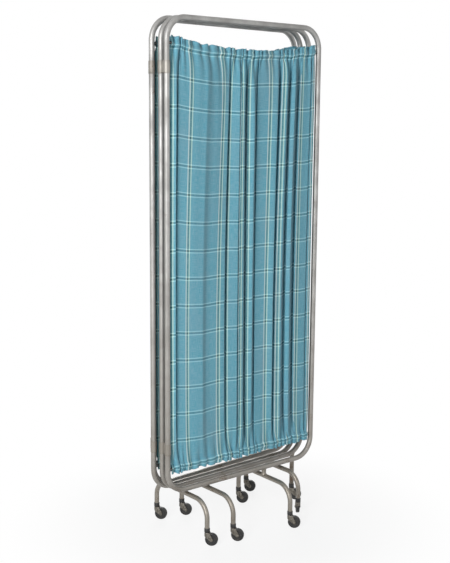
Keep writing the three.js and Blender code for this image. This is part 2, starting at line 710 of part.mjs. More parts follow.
// Hangs a leaf on the far sleeve of a link, and the link on a tube of the leaf before it.
function hang(before, tubeX, beforeTurn, name, linkTurn, leaf, leafTurn) {
  const link = hingeLink(name, degrees(linkTurn - beforeTurn));
  link.position.x = tubeX;
  leaf.position.x = HINGE_PITCH;
  leaf.rotation.z = degrees(leafTurn - linkTurn);
  link.add(leaf);
  before.add(link);
}

hang(leaf3, -LEAF_WIDTH, turn3, '34', linkTurn3, leaf4, turn4);
hang(leaf2, LEAF_WIDTH, turn2, '23', linkTurn2, leaf3, turn3);
hang(leaf1, 0, turn1, '12', linkTurn1, leaf2, turn2);

// The part's origin is on the floor, under the middle of what the folded screen covers.
const screen = new THREE.Group();
screen.add(leaf1);
screen.updateMatrixWorld(true);
const covered = new THREE.Box3().setFromObject(screen, true);
const middle = covered.getCenter(new THREE.Vector3());
leaf1.position.set(-middle.x, -middle.y, -covered.min.z);

export default screen;
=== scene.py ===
import json
import math

import bmesh
import bpy
import numpy as np
from mathutils import Matrix, Vector


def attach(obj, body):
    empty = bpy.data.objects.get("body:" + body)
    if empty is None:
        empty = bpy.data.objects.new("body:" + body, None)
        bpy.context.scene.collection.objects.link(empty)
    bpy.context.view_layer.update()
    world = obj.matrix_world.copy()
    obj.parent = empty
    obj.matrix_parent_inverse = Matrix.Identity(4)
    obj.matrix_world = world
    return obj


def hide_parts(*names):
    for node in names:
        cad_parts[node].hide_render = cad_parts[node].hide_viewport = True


# A folding ward screen: four tubular leaves on castors, each with a gathered check curtain on two sprung
# wires. Metres, +Z up. The front leaf lies along +X and looks towards -Y.

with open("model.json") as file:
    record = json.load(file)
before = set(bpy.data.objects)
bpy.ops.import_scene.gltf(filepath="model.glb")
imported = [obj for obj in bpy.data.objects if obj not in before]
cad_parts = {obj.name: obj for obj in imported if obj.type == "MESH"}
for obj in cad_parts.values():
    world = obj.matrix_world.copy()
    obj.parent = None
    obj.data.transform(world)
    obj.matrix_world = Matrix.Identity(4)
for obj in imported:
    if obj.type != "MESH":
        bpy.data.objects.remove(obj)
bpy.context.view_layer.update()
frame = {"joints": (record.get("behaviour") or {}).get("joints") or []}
JOINTS = {joint["name"]: joint for joint in frame["joints"]}

# Leaves
LEAF_WIDTH = 0.663  # between the axes of a leaf's two uprights
TOP_RAIL_HEIGHT = 1.770
BOTTOM_RAIL_HEIGHT = 0.185
TUBE_RADIUS = 0.0095
TUBE_SIDES = 36
CORNER_RADIUS = 0.072
CORNER_STEPS = 20
FIRST_LEAF_TURN = 0.0
LAST_LEAF_TURN = math.radians(3.6)

# Hooks and curtain wires
TOP_HOOK_HEIGHT = 1.685
BOTTOM_HOOK_HEIGHT = 0.266
HOOK_REACH = 0.014
HOOK_RADIUS = 0.0016
HOOK_BEND_RADIUS = 0.003
HOOK_BEND_STEPS = 8
HOOK_RISE = 0.008
HOOK_SIDES = 16
SLEEVE_RADIUS = 0.0026  # of the black sleeve on each hook
EYE_RADIUS = 0.0033
EYE_STEPS = 24
EYE_WIRE_RADIUS = 0.001
EYE_WIRE_SIDES = 10
EYE_RISE = 0.0029
WIRE_RADIUS = 0.0019
WIRE_STEPS = 40
WIRE_SIDES = 12
TOP_WIRE_SAG = 0.025
BOTTOM_WIRE_SAG = 0.001

# Hinge brackets and the rings that stop them
HINGE_PITCH = 0.031
HINGE_HEIGHT = 0.038
HINGE_LEVELS = {"upper": 1.614, "lower": 0.342}
HINGED_SIDES = {1: [0.0], 2: [0.0, LEAF_WIDTH], 3: [0.0, LEAF_WIDTH], 4: [0.0]}
SLEEVE_BORE = 0.0098
SLEEVE_OUTSIDE = 0.0109
SLEEVE_EDGE = 0.0007
WEB_THICKNESS = 0.005
WEB_EDGE = 0.0008
RING_RADIUS = 0.0106
RING_HEIGHT = 0.003
RING_EDGE = 0.0008
CLEARANCE = 0.0003

# Feet
LEG_RADIUS = 0.0085
LEG_FOOT_HEIGHT = 0.0475
ARCH_HALF_SPAN = 0.147
ARCH_BEND_RADIUS = 0.060
ARCH_CROWN_HEIGHT = 0.152
COLLAR_HEIGHT = 0.015
COLLAR_RADIUS = 0.0099
COLLAR_EDGE = 0.001
WELD_HEIGHT = 0.004
WELD_SPREAD = 0.0025
STUB_SINK_SHARE = 0.6  # of a tube's radius that a stub goes into it
FOOT_PLACES = {"1": 0.432, "2": 0.196, "3_left": 0.118, "3_right": 0.552}
FOOT_LEAVES = {"1": 1, "2": 2, "3_left": 3, "3_right": 3}
POST_PLACE = 0.617
POST_LEAF = 2
POST_WELD = [(0.012, 0.0), (0.008, 0.0006), (0.004, 0.0016)]  # below the rail, and out from the leg

# Castors
CASTOR_NUMBERS = range(1, 10)
WHEEL_RADIUS = 0.0225
WHEEL_WIDTH = 0.013
WHEEL_SHOULDER = 0.002
TREAD_SLOPE_SHARE = 0.3  # of the shoulder
WHEEL_SIDES = 64
DISH_OUTER_RADIUS = 0.0165
DISH_INNER_RADIUS = 0.0080
DISH_SLOPE = 0.001
DISH_DEPTH = 0.0009
HUB_DEPTH = 0.0001
TRAIL = 0.0156
AXLE_RADIUS = 0.0025
RIVET_RADIUS = 0.0038
RIVET_HEIGHT = 0.0016
RIVET_RIM = 0.0006
RIVET_DOME = 0.0003
RIVET_RIM_SHARE = 0.95
RIVET_DOME_SHARE = 0.7
RIVET_CROWN_SHARE = 0.3
STEM_RADIUS = 0.004
STEM_HEIGHT = 0.037
STEM_TIP = 0.001
STEM_FLANGE_RADIUS = 0.0055
STEM_FLANGE_THICKNESS = 0.0005
PIN_SIDES = 24
CHEEK_THICKNESS = 0.0022
CHEEK_GAP = 0.0008
TYRE_GAP = 0.0013
FORK_SKIRT_HEIGHT = 0.034
FORK_ROUND_OVER = 0.004
FORK_ROUND_STEPS = 6
FORK_EDGE = 0.001
FORK_PLAN_STEPS = 24
FORK_OVERRUN = 0.01
FORK_BEVEL = 0.0005
AXLE_EYE_RADIUS = 0.0065
AXLE_EYE_STEPS = 16
AXLE_EYE_END = 0.15  # the angle in radians at which the fork's edge leaves the eye
AXLE_PLACE = (TRAIL, 0, WHEEL_RADIUS)  # from the foot of the castor's swivel axis
FORK_TOP = LEG_FOOT_HEIGHT - CLEARANCE
FORK_INSIDE = WHEEL_WIDTH / 2 + CHEEK_GAP
FORK_OUTSIDE = FORK_INSIDE + CHEEK_THICKNESS

# The angles in degrees above which an edge stays sharp
CAST_EDGE = 35
PLATE_EDGE = 40
TURNED_EDGE = 50

# Curtains
HEADING_INSET = 0.017
EDGE_INSET = 0.0125
RIGHT_EDGE_BOW = 0.013
EDGE_BOW_POWER = 0.35
TOP_FRILL = 0.019
BOTTOM_FRILL = 0.020
STITCH_DROP = 0.010  # from the wire to the line of stitches that closes the casing
CHECK_WIDTH = 0.133
CHECK_HEIGHT = 0.094
BAND_HEIGHT = 1.5853  # a band of the check, on the front leaf

# Camera
IMAGE_HEIGHT_PX = 563
FOCAL_PX = 973.4
SENSOR = 36.0
FAR_CLIP = 100
CAMERA_PLACE = (-2.13775, -2.62925, 1.4396)
CAMERA_YAW = math.radians(38.33)
CAMERA_PITCH = math.radians(9.30)
CAMERA_ROLL = math.radians(0.406)

# Surroundings. Each light has its place, its target, its size and its power.
LIGHTS = {
    "key": ((-3.0, -1.6, 1.9), (0, 0, 0.9), (1.1, 2.4), 104),
    "fill": ((1.2, -3.4, 1.5), (0, 0, 0.9), (2.2, 2.2), 6),
    "back": ((1.9, 3.2, 1.9), (0, 0, 0.9), (2.4, 2.4), 80),
    "low fill": ((0.2, -2.2, 0.75), (0, 0, 0.18), (1.0, 0.4), 3),
}
WHITE = (1, 1, 1)
STUDIO_STRENGTH = 0.2
STUDIO_SPANS = ((0.15, 0.6), (0.8, 0.4))  # from how steeply upwards a direction goes to its tone
FLOOR_HALF_SIZE = 30.0
FLOOR_SURFACE = {"Base Color": (0.86, 0.86, 0.86), "Roughness": 0.9, "Specular IOR Level": 0.1}
FLOOR_WHITE_SPANS = ((0.30, 0.90), (0.86, 1.0))  # from the distance to the middle to the share of white

# Platings, each with its clean and dull colours, the height below which it rusts, and its roughness's range.
# A noise has its waves to the metre along each axis, its detail and its roughness. A pair of spans says from
# where to where a value goes, and what it becomes. A bump has its strength and its height in metres.
PLATINGS = {
    "frame_metal": ((0.43, 0.425, 0.415), (0.31, 0.305, 0.295), 0.40, (0.45, 0.61)),
    "foot_metal": ((0.32, 0.295, 0.26), (0.20, 0.178, 0.148), 0.30, (0.38, 0.54)),
    "hinge_metal": ((0.36, 0.34, 0.31), (0.25, 0.235, 0.21), 0.35, (0.48, 0.64)),
}
METAL_SHARE = 0.62  # the rest of the plating is covered by a dull film that scatters light
CLOUD_NOISE = ((12, 12, 12), 4.0, 0.55)
CLOUD_SPANS = ((0.35, 0.7), (0.0, 1.0))
SCRATCH_NOISE = ((420, 420, 21), 6.0, 0.55)
SCRATCH_SPANS = ((0.45, 0.75), (0.0, 0.3))
SCRATCH_COLOUR = (0.20, 0.185, 0.16)
STAIN_SPANS = ((1.3, 0.1), (0.0, 0.65))
STAIN_COLOUR = (0.27, 0.245, 0.21)
SPOT_NOISE = ((330, 330, 330), 3.0, 0.7)
PATCH_NOISE = ((17, 17, 17), 4.0, 0.55)
RUST_GATHERING = 0.12  # added to the noise at the floor
RUST_SPANS = ((0.37, 0.45), (0.0, 0.85))
RUST_COLOUR = (0.13, 0.075, 0.04)
RUST_OVER_METAL = 0.6
RUST_ROUGHNESS = 0.35
PLATING_GLOSS_SPAN = (0.3, 0.75)
PLATING_BUMP = (0.12, 0.0004)

# Each dusty film has its dust's noise, spans and colour, its grain's noise and bump, and its share of metal.
DUSTY_ZINC = (
    ((160, 160, 160), 4.0, 0.55),
    ((0.35, 0.7), (0.0, 1.0)),
    (0.09, 0.078, 0.062),
    ((1400, 1400, 1400), 5.0, 0.55),
    (0.15, 0.0003),
    METAL_SHARE,
)
DUSTY_RUBBER = (
    ((90, 90, 90), 4.0, 0.55),
    ((0.45, 0.8), (0.0, 0.5)),
    (0.075, 0.065, 0.055),
    ((1800, 1800, 1800), 5.0, 0.55),
    (0.2, 0.0003),
    0.0,
)
# Each has its clean colour and the range of its roughness.
DUSTY_MATERIALS = {
    "castor_metal": ((0.20, 0.185, 0.16), (0.42, 0.6), DUSTY_ZINC),
    "black_tread": ((0.012, 0.012, 0.012), (0.42, 0.62), DUSTY_RUBBER),
    "black_sleeve": ((0.016, 0.016, 0.016), (0.5, 0.7), DUSTY_RUBBER),
}
DUSTY_GLOSS_SPAN = (0.3, 0.8)

# Spring wire
WIRE_TURN_SCALE = 300
# The dark colour in the grooves between the wire's turns is painted shade.
WIRE_GROOVE_SHADE = (0.10, 0.10, 0.10)
WIRE_COLOUR = (0.42, 0.42, 0.41)
WIRE_BUMP = (0.6, 0.0005)
WIRE_SURFACE = {"Metallic": 0.9, "Roughness": 0.4}

# The check's threads. A place on the cloth shows half of its warp's colour and half of its weft's.
GROUND = (0.104, 0.352, 0.458)
# The colours of the dark line and of the pale ones before and after it
WARP_COLOURS = ((0.0, 0.10, 0.09), (0.92, 0.98, 0.84), (0.78, 1.0, 0.76))
WEFT_COLOURS = ((0.0, 0.13, 0.17), (0.46, 0.80, 0.86), (0.46, 0.80, 0.86))
LINE_OFFSETS = (0.0, -0.0056, 0.0056)
LINE_HALVES = (0.0032, 0.0017, 0.0017)
LINE_BLUR = 0.0008
WEFT_SHARE = 0.5
STRIPE_PLACE = 0.004  # of the first warp stripe, from the left edge
CHECKS_BEFORE = 40.5  # added to a place, so that no remainder is negative and a line is in the middle of one
SLUB_NOISES = (((40, 900, 1), 3.0, 0.55), ((900, 40, 1), 3.0, 0.55))
SLUB_SPANS = ((0.8, 1.25), (0.0, 0.22))
SLUB_COLOUR = (0.55, 0.72, 0.78)
SLUB_BUMP = (0.25, 0.0003)
FADE_NOISE = ((9, 4, 1), 3.0, 0.55)
FADE_SPANS = ((0.45, 0.75), (0.0, 0.16))
FADE_COLOUR = (0.30, 0.36, 0.42)
COTTON = {"Roughness": 0.85, "Sheen Weight": 0.25, "Sheen Roughness": 0.5, "Specular IOR Level": 0.25}


# Materials

MIX_FIRST, MIX_SECOND, MIX_RESULT = 6, 7, 2  # the numbers of a Mix node's sockets for colours


class Shading:
    """The nodes of a material or a world."""

    def __init__(self, tree):
        self.nodes = tree.nodes
        self.links = tree.links

    def feed(self, socket, value):
        """Set a socket to a value or a colour, or link it to another node."""
        if isinstance(value, bpy.types.NodeSocket):
            self.links.new(value, socket)
        elif socket.type == "RGBA":
            socket.default_value = (*value, 1)
        else:
            socket.default_value = value

    def node(self, kind, inputs, **settings):
        """The outputs of a new node, with its sockets fed by their names or numbers."""
        made = self.nodes.new("ShaderNode" + kind)
        for name, value in settings.items():
            setattr(made, name, value)
        for socket, value in inputs.items():
            self.feed(made.inputs[socket], value)
        return made.outputs

    def place(self):
        """The place in the object's own metres."""
        return self.node("TexCoord", {})["Object"]

    def noise(self, scales, detail, roughness, place=None):
        scaled = self.node("Mapping", {"Vector": place or self.place(), "Scale": scales})["Vector"]
        inputs = {"Vector": scaled, "Scale": 1.0, "Detail": detail, "Roughness": roughness}
        return self.node("TexNoise", inputs)["Fac"]

    def remap(self, value, span, to_span=(0.0, 1.0)):
        """A number eased from one span to another."""
        sockets = ("From Min", "From Max", "To Min", "To Max")
        inputs = {"Value": value, **dict(zip(sockets, (*span, *to_span)))}
        return self.node("MapRange", inputs, interpolation_type="SMOOTHSTEP")["Result"]

    def combine(self, operation, first, second=0.0):
        return self.node("Math", {0: first, 1: second}, operation=operation)["Value"]

    def mix(self, share, first, second):
        """A colour that goes from the first to the second as the share rises."""
        inputs = {0: share, MIX_FIRST: first, MIX_SECOND: second}
        return self.node("Mix", inputs, data_type="RGBA")[MIX_RESULT]

    def bump(self, height, strength, distance):
        inputs = {"Height": height, "Strength": strength, "Distance": distance}
        return self.node("Bump", inputs)["Normal"]

    def seen_share(self):
        """1 for what the camera sees, straight or in metal or glass, and 0 for what lights the object."""
        path = self.node("LightPath", {})
        mirrored = self.combine("MAXIMUM", path["Is Glossy Ray"], path["Is Transmission Ray"])
        return self.combine("MAXIMUM", path["Is Camera Ray"], mirrored)


class Material(Shading):
    """A new material with one Principled shader."""

    def __init__(self, name):
        self.data = bpy.data.materials.new(name)
        self.data.use_nodes = True
        super().__init__(self.data.node_tree)
        self.shader = self.nodes["Principled BSDF"]

    def surfaced(self, values):
        """The finished material, with its shader's sockets fed by their names."""
        for name, value in values.items():
            self.feed(self.shader.inputs[name], value)
        return self.data


def worn_plating(name, clean, dull, rust_height, roughness):
    """Old bright plating: clouded, finely scratched, with brown spots that gather towards the floor."""
    made = Material(name)
    clouds = made.noise(*CLOUD_NOISE)
    scratches = made.noise(*SCRATCH_NOISE)
    spotted = made.combine("MULTIPLY", made.noise(*SPOT_NOISE), made.noise(*PATCH_NOISE))
    height = made.node("SeparateXYZ", {"Vector": made.place()})["Z"]
    lowness = made.remap(height, (rust_height, 0.0))
    gathered = made.combine("ADD", spotted, made.combine("MULTIPLY", lowness, RUST_GATHERING))
    rust = made.remap(gathered, *RUST_SPANS)
    clouded = made.mix(made.remap(clouds, *CLOUD_SPANS), clean, dull)
    stained = made.mix(made.remap(height, *STAIN_SPANS), clouded, STAIN_COLOUR)
    scratched = made.mix(made.remap(scratches, *SCRATCH_SPANS), stained, SCRATCH_COLOUR)
    rough = made.remap(clouds, PLATING_GLOSS_SPAN, roughness)
    return made.surfaced({
        "Base Color": made.mix(rust, scratched, RUST_COLOUR),
        "Metallic": made.combine("SUBTRACT", METAL_SHARE, made.combine("MULTIPLY", rust, RUST_OVER_METAL)),
        "Roughness": made.combine("ADD", rough, made.combine("MULTIPLY", rust, RUST_ROUGHNESS)),
        "Normal": made.bump(made.combine("ADD", scratches, spotted), *PLATING_BUMP),
    })


def dusty(name, clean, roughness, film):
    """A dull pressing or hard rubber, with a film of dust in its grain."""
    dust_noise, dust_spans, dust_colour, grain_noise, grain_bump, metal_share = film
    made = Material(name)
    dust = made.noise(*dust_noise)
    return made.surfaced({
        "Base Color": made.mix(made.remap(dust, *dust_spans), clean, dust_colour),
        "Metallic": metal_share,
        "Roughness": made.remap(dust, DUSTY_GLOSS_SPAN, roughness),
        "Normal": made.bump(made.noise(*grain_noise), *grain_bump),
    })


def spring_wire():
    """Close-wound steel wire: the turns are fine ribs across it, with painted shade in the grooves between
    them.
    """
    made = Material("spring_wire")
    inputs = {"Vector": made.place(), "Scale": WIRE_TURN_SCALE}
    turns = made.node("TexWave", inputs, bands_direction="X")["Fac"]
    # painted shade darkens the grooves between the turns
    colour = made.mix(turns, WIRE_GROOVE_SHADE, WIRE_COLOUR)
    return made.surfaced({**WIRE_SURFACE, "Base Color": colour, "Normal": made.bump(turns, *WIRE_BUMP)})


def threads(cloth, place, pitch, phase, line_colours):
    """The colour of the threads across a direction: ground with a dark line between two pale ones."""
    shifted = cloth.combine("ADD", place, pitch * CHECKS_BEFORE - phase)
    wrapped = cloth.combine("MODULO", shifted, pitch)
    offset = cloth.combine("SUBTRACT", wrapped, pitch / 2)
    colour = GROUND
    for middle, half, line_colour in zip(LINE_OFFSETS, LINE_HALVES, line_colours):
        away = cloth.combine("ABSOLUTE", cloth.combine("SUBTRACT", offset, middle))
        inside = cloth.remap(away, (half - LINE_BLUR / 2, half + LINE_BLUR), (1.0, 0.0))
        colour = cloth.mix(inside, colour, line_colour)
    return colour


def checked_cloth():
    """Thin plain-woven cotton with a woven check. Its UV map holds the flat cloth's own places in metres."""
    cloth = Material("checked_cloth")
    flat = cloth.node("UVMap", {}, uv_map="flat")["UV"]
    separate = cloth.node("SeparateXYZ", {"Vector": flat})
    warp = threads(cloth, separate["X"], CHECK_WIDTH, STRIPE_PLACE, WARP_COLOURS)
    weft = threads(cloth, separate["Y"], CHECK_HEIGHT, BAND_HEIGHT % CHECK_HEIGHT, WEFT_COLOURS)
    slubs = cloth.combine("ADD", *[cloth.noise(*noise, flat) for noise in SLUB_NOISES])
    fade = cloth.noise(*FADE_NOISE, flat)
    toned = cloth.mix(cloth.remap(slubs, *SLUB_SPANS), cloth.mix(WEFT_SHARE, warp, weft), SLUB_COLOUR)
    faded = cloth.mix(cloth.remap(fade, *FADE_SPANS), toned, FADE_COLOUR)
    return cloth.surfaced({**COTTON, "Base Color": faded, "Normal": cloth.bump(slubs, *SLUB_BUMP)})


MATERIALS = {name: worn_plating(name, *values) for name, values in PLATINGS.items()}
MATERIALS.update((name, dusty(name, *values)) for name, values in DUSTY_MATERIALS.items())
MATERIALS["spring_wire"] = spring_wire()
MATERIALS["checked_cloth"] = checked_cloth()
SLOTS = {"black_sleeve": "black_tread"}  # where a material isn't named after its slot


# Meshes

def linked(name, data):
    made = bpy.data.objects.new(name, data)
    bpy.context.scene.collection.objects.link(made)
    return made


def new_mesh(name, points, faces):
    mesh = bpy.data.meshes.new(name)
    mesh.from_pydata([tuple(point) for point in points], [], faces)
    mesh.update()
    return mesh


def finish_mesh(mesh, material, sharp=None):
    """Smooth shading in a material, apart from edges that are sharper than an angle."""
    mesh.materials.append(MATERIALS[material])
    mesh.polygons.foreach_set("use_smooth", [True] * len(mesh.polygons))
    if sharp:
        mesh.set_sharp_from_angle(angle=math.radians(sharp))


def joined(parts):
    """Several lists of points and faces as one."""
    points, faces = [], []
    for part_points, part_faces in parts:
        start = len(points)
        points.extend(part_points)
        faces.extend([tuple(start + index for index in face) for face in part_faces])
    return points, faces


def skin(rings, closed=False, flipped=False):
    """The skin over rings of points: a loop where it is closed, and otherwise with a face at each end."""
    sides, count = len(rings[0]), len(rings)
    faces = []
    for index in range(count if closed else count - 1):
        here, there = index * sides, (index + 1) % count * sides
        for step in range(sides):
            following = (step + 1) % sides
            first, second = (there + step, here + following) if flipped else (here + following, there + step)
            faces.append((here + step, first, there + following, second))
    if not closed:
        low, high = range(sides), range((count - 1) * sides, count * sides)
        ends = (low, reversed(high)) if flipped else (reversed(low), high)
        faces += [tuple(end) for end in ends]
    return [point for ring in rings for point in ring], faces


def circle(sides):
    """The cosine and sine of each step round a circle."""
    angles = [2 * math.pi * step / sides for step in range(sides)]
    return [(math.cos(angle), math.sin(angle)) for angle in angles]


def tube(path, normal, radii, sides=TUBE_SIDES, closed=False):
    """A round tube along a path in the plane with this normal, with one radius or one for each point."""
    path = [Vector(point) for point in path]
    radii = radii if isinstance(radii, list) else [radii] * len(path)
    normal = Vector(normal)
    last = len(path) - 1
    rings = []
    for index, (point, radius) in enumerate(zip(path, radii)):
        before = path[index - 1] if closed or index > 0 else point
        after = path[(index + 1) % len(path)] if closed or index < last else point
        side = (after - before).normalized().cross(normal)
        rings.append([point + radius * (cosine * side + sine * normal) for cosine, sine in circle(sides)])
    return skin(rings, closed, flipped=True)


def turned(profile, sides, place=(0, 0, 0), axis="Z"):
    """A turned shape. The profile is a list of (radius, place along the axis), from one end to the other."""
    rings = []
    for radius, along in profile:
        ring = [(radius * cosine, radius * sine, along) for cosine, sine in circle(sides)]
        if axis == "Y":
            ring = [(x, z, -y) for x, y, z in ring]
        rings.append([Vector(point) + Vector(place) for point in ring])
    return skin(rings)


def prism(outline, low, high, to_point):
    """A closed outline drawn out between two places along the third direction."""
    return skin([[Vector(to_point(*point, along)) for point in outline] for along in (low, high)])


def bevelled(radius, low, high, edge):
    """The outer line of a profile between two heights, with its edges taken off."""
    return [(radius - edge, low), (radius, low + edge), (radius, high - edge), (radius - edge, high)]


def arc(centre, radius, start, end, steps):
    angles = [start + (end - start) * step / steps for step in range(steps + 1)]
    return [(centre[0] + radius * math.cos(angle), centre[1] + radius * math.sin(angle)) for angle in angles]


def finish_piece(piece, placing, body, material, *nodes):
    """Put a piece in its place, attach it to the body it rides on and hide the CAD nodes that it stands for.
    """
    piece.data.transform(placing)
    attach(piece, body)
    SLOTS.get(material, material)
    if nodes:
        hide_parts(*nodes)
    return piece


def make_piece(name, shape, material, placing, body, *nodes, sharp=None):
    mesh = new_mesh(name, *shape)
    finish_mesh(mesh, material, sharp)
    return finish_piece(linked(name, mesh), placing, body, material, *nodes)


# Where the leaves stand

def joint_place(name):
    return Vector(JOINTS[name]["pos_m"]).to_2d()


def turn_of(start, end):
    return math.atan2(end.y - start.y, end.x - start.x)


def upright_placing(place, turn):
    return Matrix.Translation((place.x, place.y, 0)) @ Matrix.Rotation(turn, 4, "Z")


LEFT_TUBES = {
    1: joint_place("link_12_on_leaf_1"),
    2: joint_place("leaf_2_on_link_12"),
    3: joint_place("link_34_on_leaf_3"),
    4: joint_place("leaf_4_on_link_34"),
}
LEAF_TURNS = {
    1: FIRST_LEAF_TURN,
    2: turn_of(LEFT_TUBES[2], joint_place("link_23_on_leaf_2")),
    3: turn_of(LEFT_TUBES[3], joint_place("leaf_3_on_link_23")),
    4: LAST_LEAF_TURN,
}
LEAVES = {number: upright_placing(LEFT_TUBES[number], LEAF_TURNS[number]) for number in LEFT_TUBES}


# The leaves' frames

def leaf_loop():
    right = LEAF_WIDTH - CORNER_RADIUS
    low = BOTTOM_RAIL_HEIGHT + CORNER_RADIUS
    high = TOP_RAIL_HEIGHT - CORNER_RADIUS
    corners = [(right, low), (right, high), (CORNER_RADIUS, high), (CORNER_RADIUS, low)]
    path = []
    for index, corner in enumerate(corners):
        start = math.pi / 2 * (index - 1)
        path += arc(corner, CORNER_RADIUS, start, start + math.pi / 2, CORNER_STEPS)
    return [(along, 0.0, rise) for along, rise in path]


def make_frame(number):
    shape = tube(leaf_loop(), (0, 1, 0), TUBE_RADIUS, closed=True)
    make_piece(f"tube_{number}", shape, "frame_metal", LEAVES[number], f"leaf_{number}", f"frame_{number}")


def hook(tube_x, inward, height):
    bend = (HOOK_REACH - HOOK_BEND_RADIUS, HOOK_BEND_RADIUS)
    line = [(TUBE_RADIUS - HOOK_RADIUS, 0)]
    line += arc(bend, HOOK_BEND_RADIUS, -math.pi / 2, 0, HOOK_BEND_STEPS)
    line += [(HOOK_REACH, HOOK_RISE - HOOK_RADIUS), (HOOK_REACH, HOOK_RISE)]
    path = [(tube_x + inward * along, 0.0, height + rise) for along, rise in line]
    radii = [SLEEVE_RADIUS] * (len(path) - 1) + [SLEEVE_RADIUS / 2]
    return tube(path, (0, 1, 0), radii, HOOK_SIDES)


def make_hooks(number):
    parts = [
        hook(tube_x, inward, height)
        for height in (TOP_HOOK_HEIGHT, BOTTOM_HOOK_HEIGHT)
        for tube_x, inward in ((0, 1), (LEAF_WIDTH, -1))
    ]
    make_piece(f"hooks_{number}", joined(parts), "black_sleeve", LEAVES[number], f"leaf_{number}")


def stop_ring(tube_x, hinge_level):
    top = hinge_level - HINGE_HEIGHT / 2 - CLEARANCE
    profile = [
        (TUBE_RADIUS, top - RING_HEIGHT),
        (RING_RADIUS, top - RING_HEIGHT + RING_EDGE),
        (RING_RADIUS, top - RING_EDGE),
        (TUBE_RADIUS, top),
    ]
    return turned(profile, TUBE_SIDES, (tube_x, 0, 0))


def make_rings(number):
    levels = HINGE_LEVELS.values()
    parts = [stop_ring(tube_x, level) for tube_x in HINGED_SIDES[number] for level in levels]
    make_piece(f"stop_rings_{number}", joined(parts), "hinge_metal", LEAVES[number], f"leaf_{number}")


# The hinge brackets

def sleeve(x, height):
    low, high = height - HINGE_HEIGHT / 2, height + HINGE_HEIGHT / 2
    outside = bevelled(SLEEVE_OUTSIDE, low, high, SLEEVE_EDGE)
    return turned([(SLEEVE_BORE, low), *outside, (SLEEVE_BORE, high)], TUBE_SIDES, (x, 0, 0))


def web(height):
    """The plate between a bracket's two sleeves, with its long edges taken off."""
    end = HINGE_HEIGHT / 2 - CLEARANCE
    front = bevelled(WEB_THICKNESS / 2, -end, end, WEB_EDGE)
    outline = front + [(-y, z) for y, z in reversed(front)]
    return prism(outline, TUBE_RADIUS, HINGE_PITCH - TUBE_RADIUS, lambda y, z, x: (x, y, height + z))


def make_brackets(name, first_joint, second_joint):
    first, second = joint_place(first_joint), joint_place(second_joint)
    placing = upright_placing(first, turn_of(first, second))
    for word, height in HINGE_LEVELS.items():
        parts = [sleeve(0, height), sleeve(HINGE_PITCH, height), web(height)]
        names = (f"link_{name}", f"{word}_hinge_{name}")
        make_piece(f"{word}_bracket_{name}", joined(parts), "hinge_metal", placing, *names, sharp=PLATE_EDGE)


# The feet

def arch_path():
    bend_top = ARCH_HALF_SPAN - ARCH_BEND_RADIUS
    bend_rise = ARCH_CROWN_HEIGHT - ARCH_BEND_RADIUS
    path = [(-ARCH_HALF_SPAN, LEG_FOOT_HEIGHT)]
    for side, start, end in ((-1, math.pi, math.pi / 2), (1, math.pi / 2, 0)):
        path += arc((side * bend_top, bend_rise), ARCH_BEND_RADIUS, start, end, CORNER_STEPS)
    path.append((ARCH_HALF_SPAN, LEG_FOOT_HEIGHT))
    return [(0.0, along, rise) for along, rise in path]


def collar(y):
    high = LEG_FOOT_HEIGHT + COLLAR_HEIGHT
    outside = bevelled(COLLAR_RADIUS, LEG_FOOT_HEIGHT, high, COLLAR_EDGE)
    return turned([*outside, (LEG_RADIUS, high)], TUBE_SIDES, (0, y, 0))


def stub_profile():
    """A short stub from a foot's crown to the rail, whose ends spread into the welds."""
    low = ARCH_CROWN_HEIGHT + STUB_SINK_SHARE * LEG_RADIUS
    high = BOTTOM_RAIL_HEIGHT - STUB_SINK_SHARE * TUBE_RADIUS
    ends = [(WELD_SPREAD, 0), (WELD_SPREAD / 3, WELD_HEIGHT / 2), (0, WELD_HEIGHT)]
    lower = [(LEG_RADIUS + out, low + up) for out, up in ends]
    return lower + [(LEG_RADIUS + out, high - up) for out, up in reversed(ends)]


def rail_height(place):
    """The height of the bottom rail's axis at a place along the leaf, corners included."""
    past = max(CORNER_RADIUS - place, place - (LEAF_WIDTH - CORNER_RADIUS), 0)
    return BOTTOM_RAIL_HEIGHT + CORNER_RADIUS - math.sqrt(CORNER_RADIUS**2 - past**2)


def make_arch_foot(name):
    number = FOOT_LEAVES[name]
    body = f"leaf_{number}"
    placing = LEAVES[number] @ Matrix.Translation((FOOT_PLACES[name], 0, 0))
    arch = tube(arch_path(), (1, 0, 0), LEG_RADIUS)
    collars = joined([collar(-ARCH_HALF_SPAN), collar(ARCH_HALF_SPAN)])
    stub = turned(stub_profile(), TUBE_SIDES)
    names = (body, f"arch_foot_{name}")
    make_piece(f"arch_{name}", arch, "foot_metal", placing, *names, sharp=TURNED_EDGE)
    make_piece(f"collars_{name}", collars, "black_sleeve", placing, body, sharp=TURNED_EDGE)
    make_piece(f"stub_{name}", stub, "foot_metal", placing, body, f"saddle_{name}")


def make_post():
    body = f"leaf_{POST_LEAF}"
    placing = LEAVES[POST_LEAF] @ Matrix.Translation((POST_PLACE, 0, 0))
    top = rail_height(POST_PLACE)
    path = [(0, 0, LEG_FOOT_HEIGHT)] + [(0, 0, top - below) for below, _ in POST_WELD]
    radii = [LEG_RADIUS] + [LEG_RADIUS + spread for _, spread in POST_WELD]
    make_piece("straight_leg", tube(path, (1, 0, 0), radii), "foot_metal", placing, body, "post")
    make_piece("collar_post", collar(0), "black_sleeve", placing, body)


# The castors. Each is drawn about its stem, with the wheel trailing towards +X.

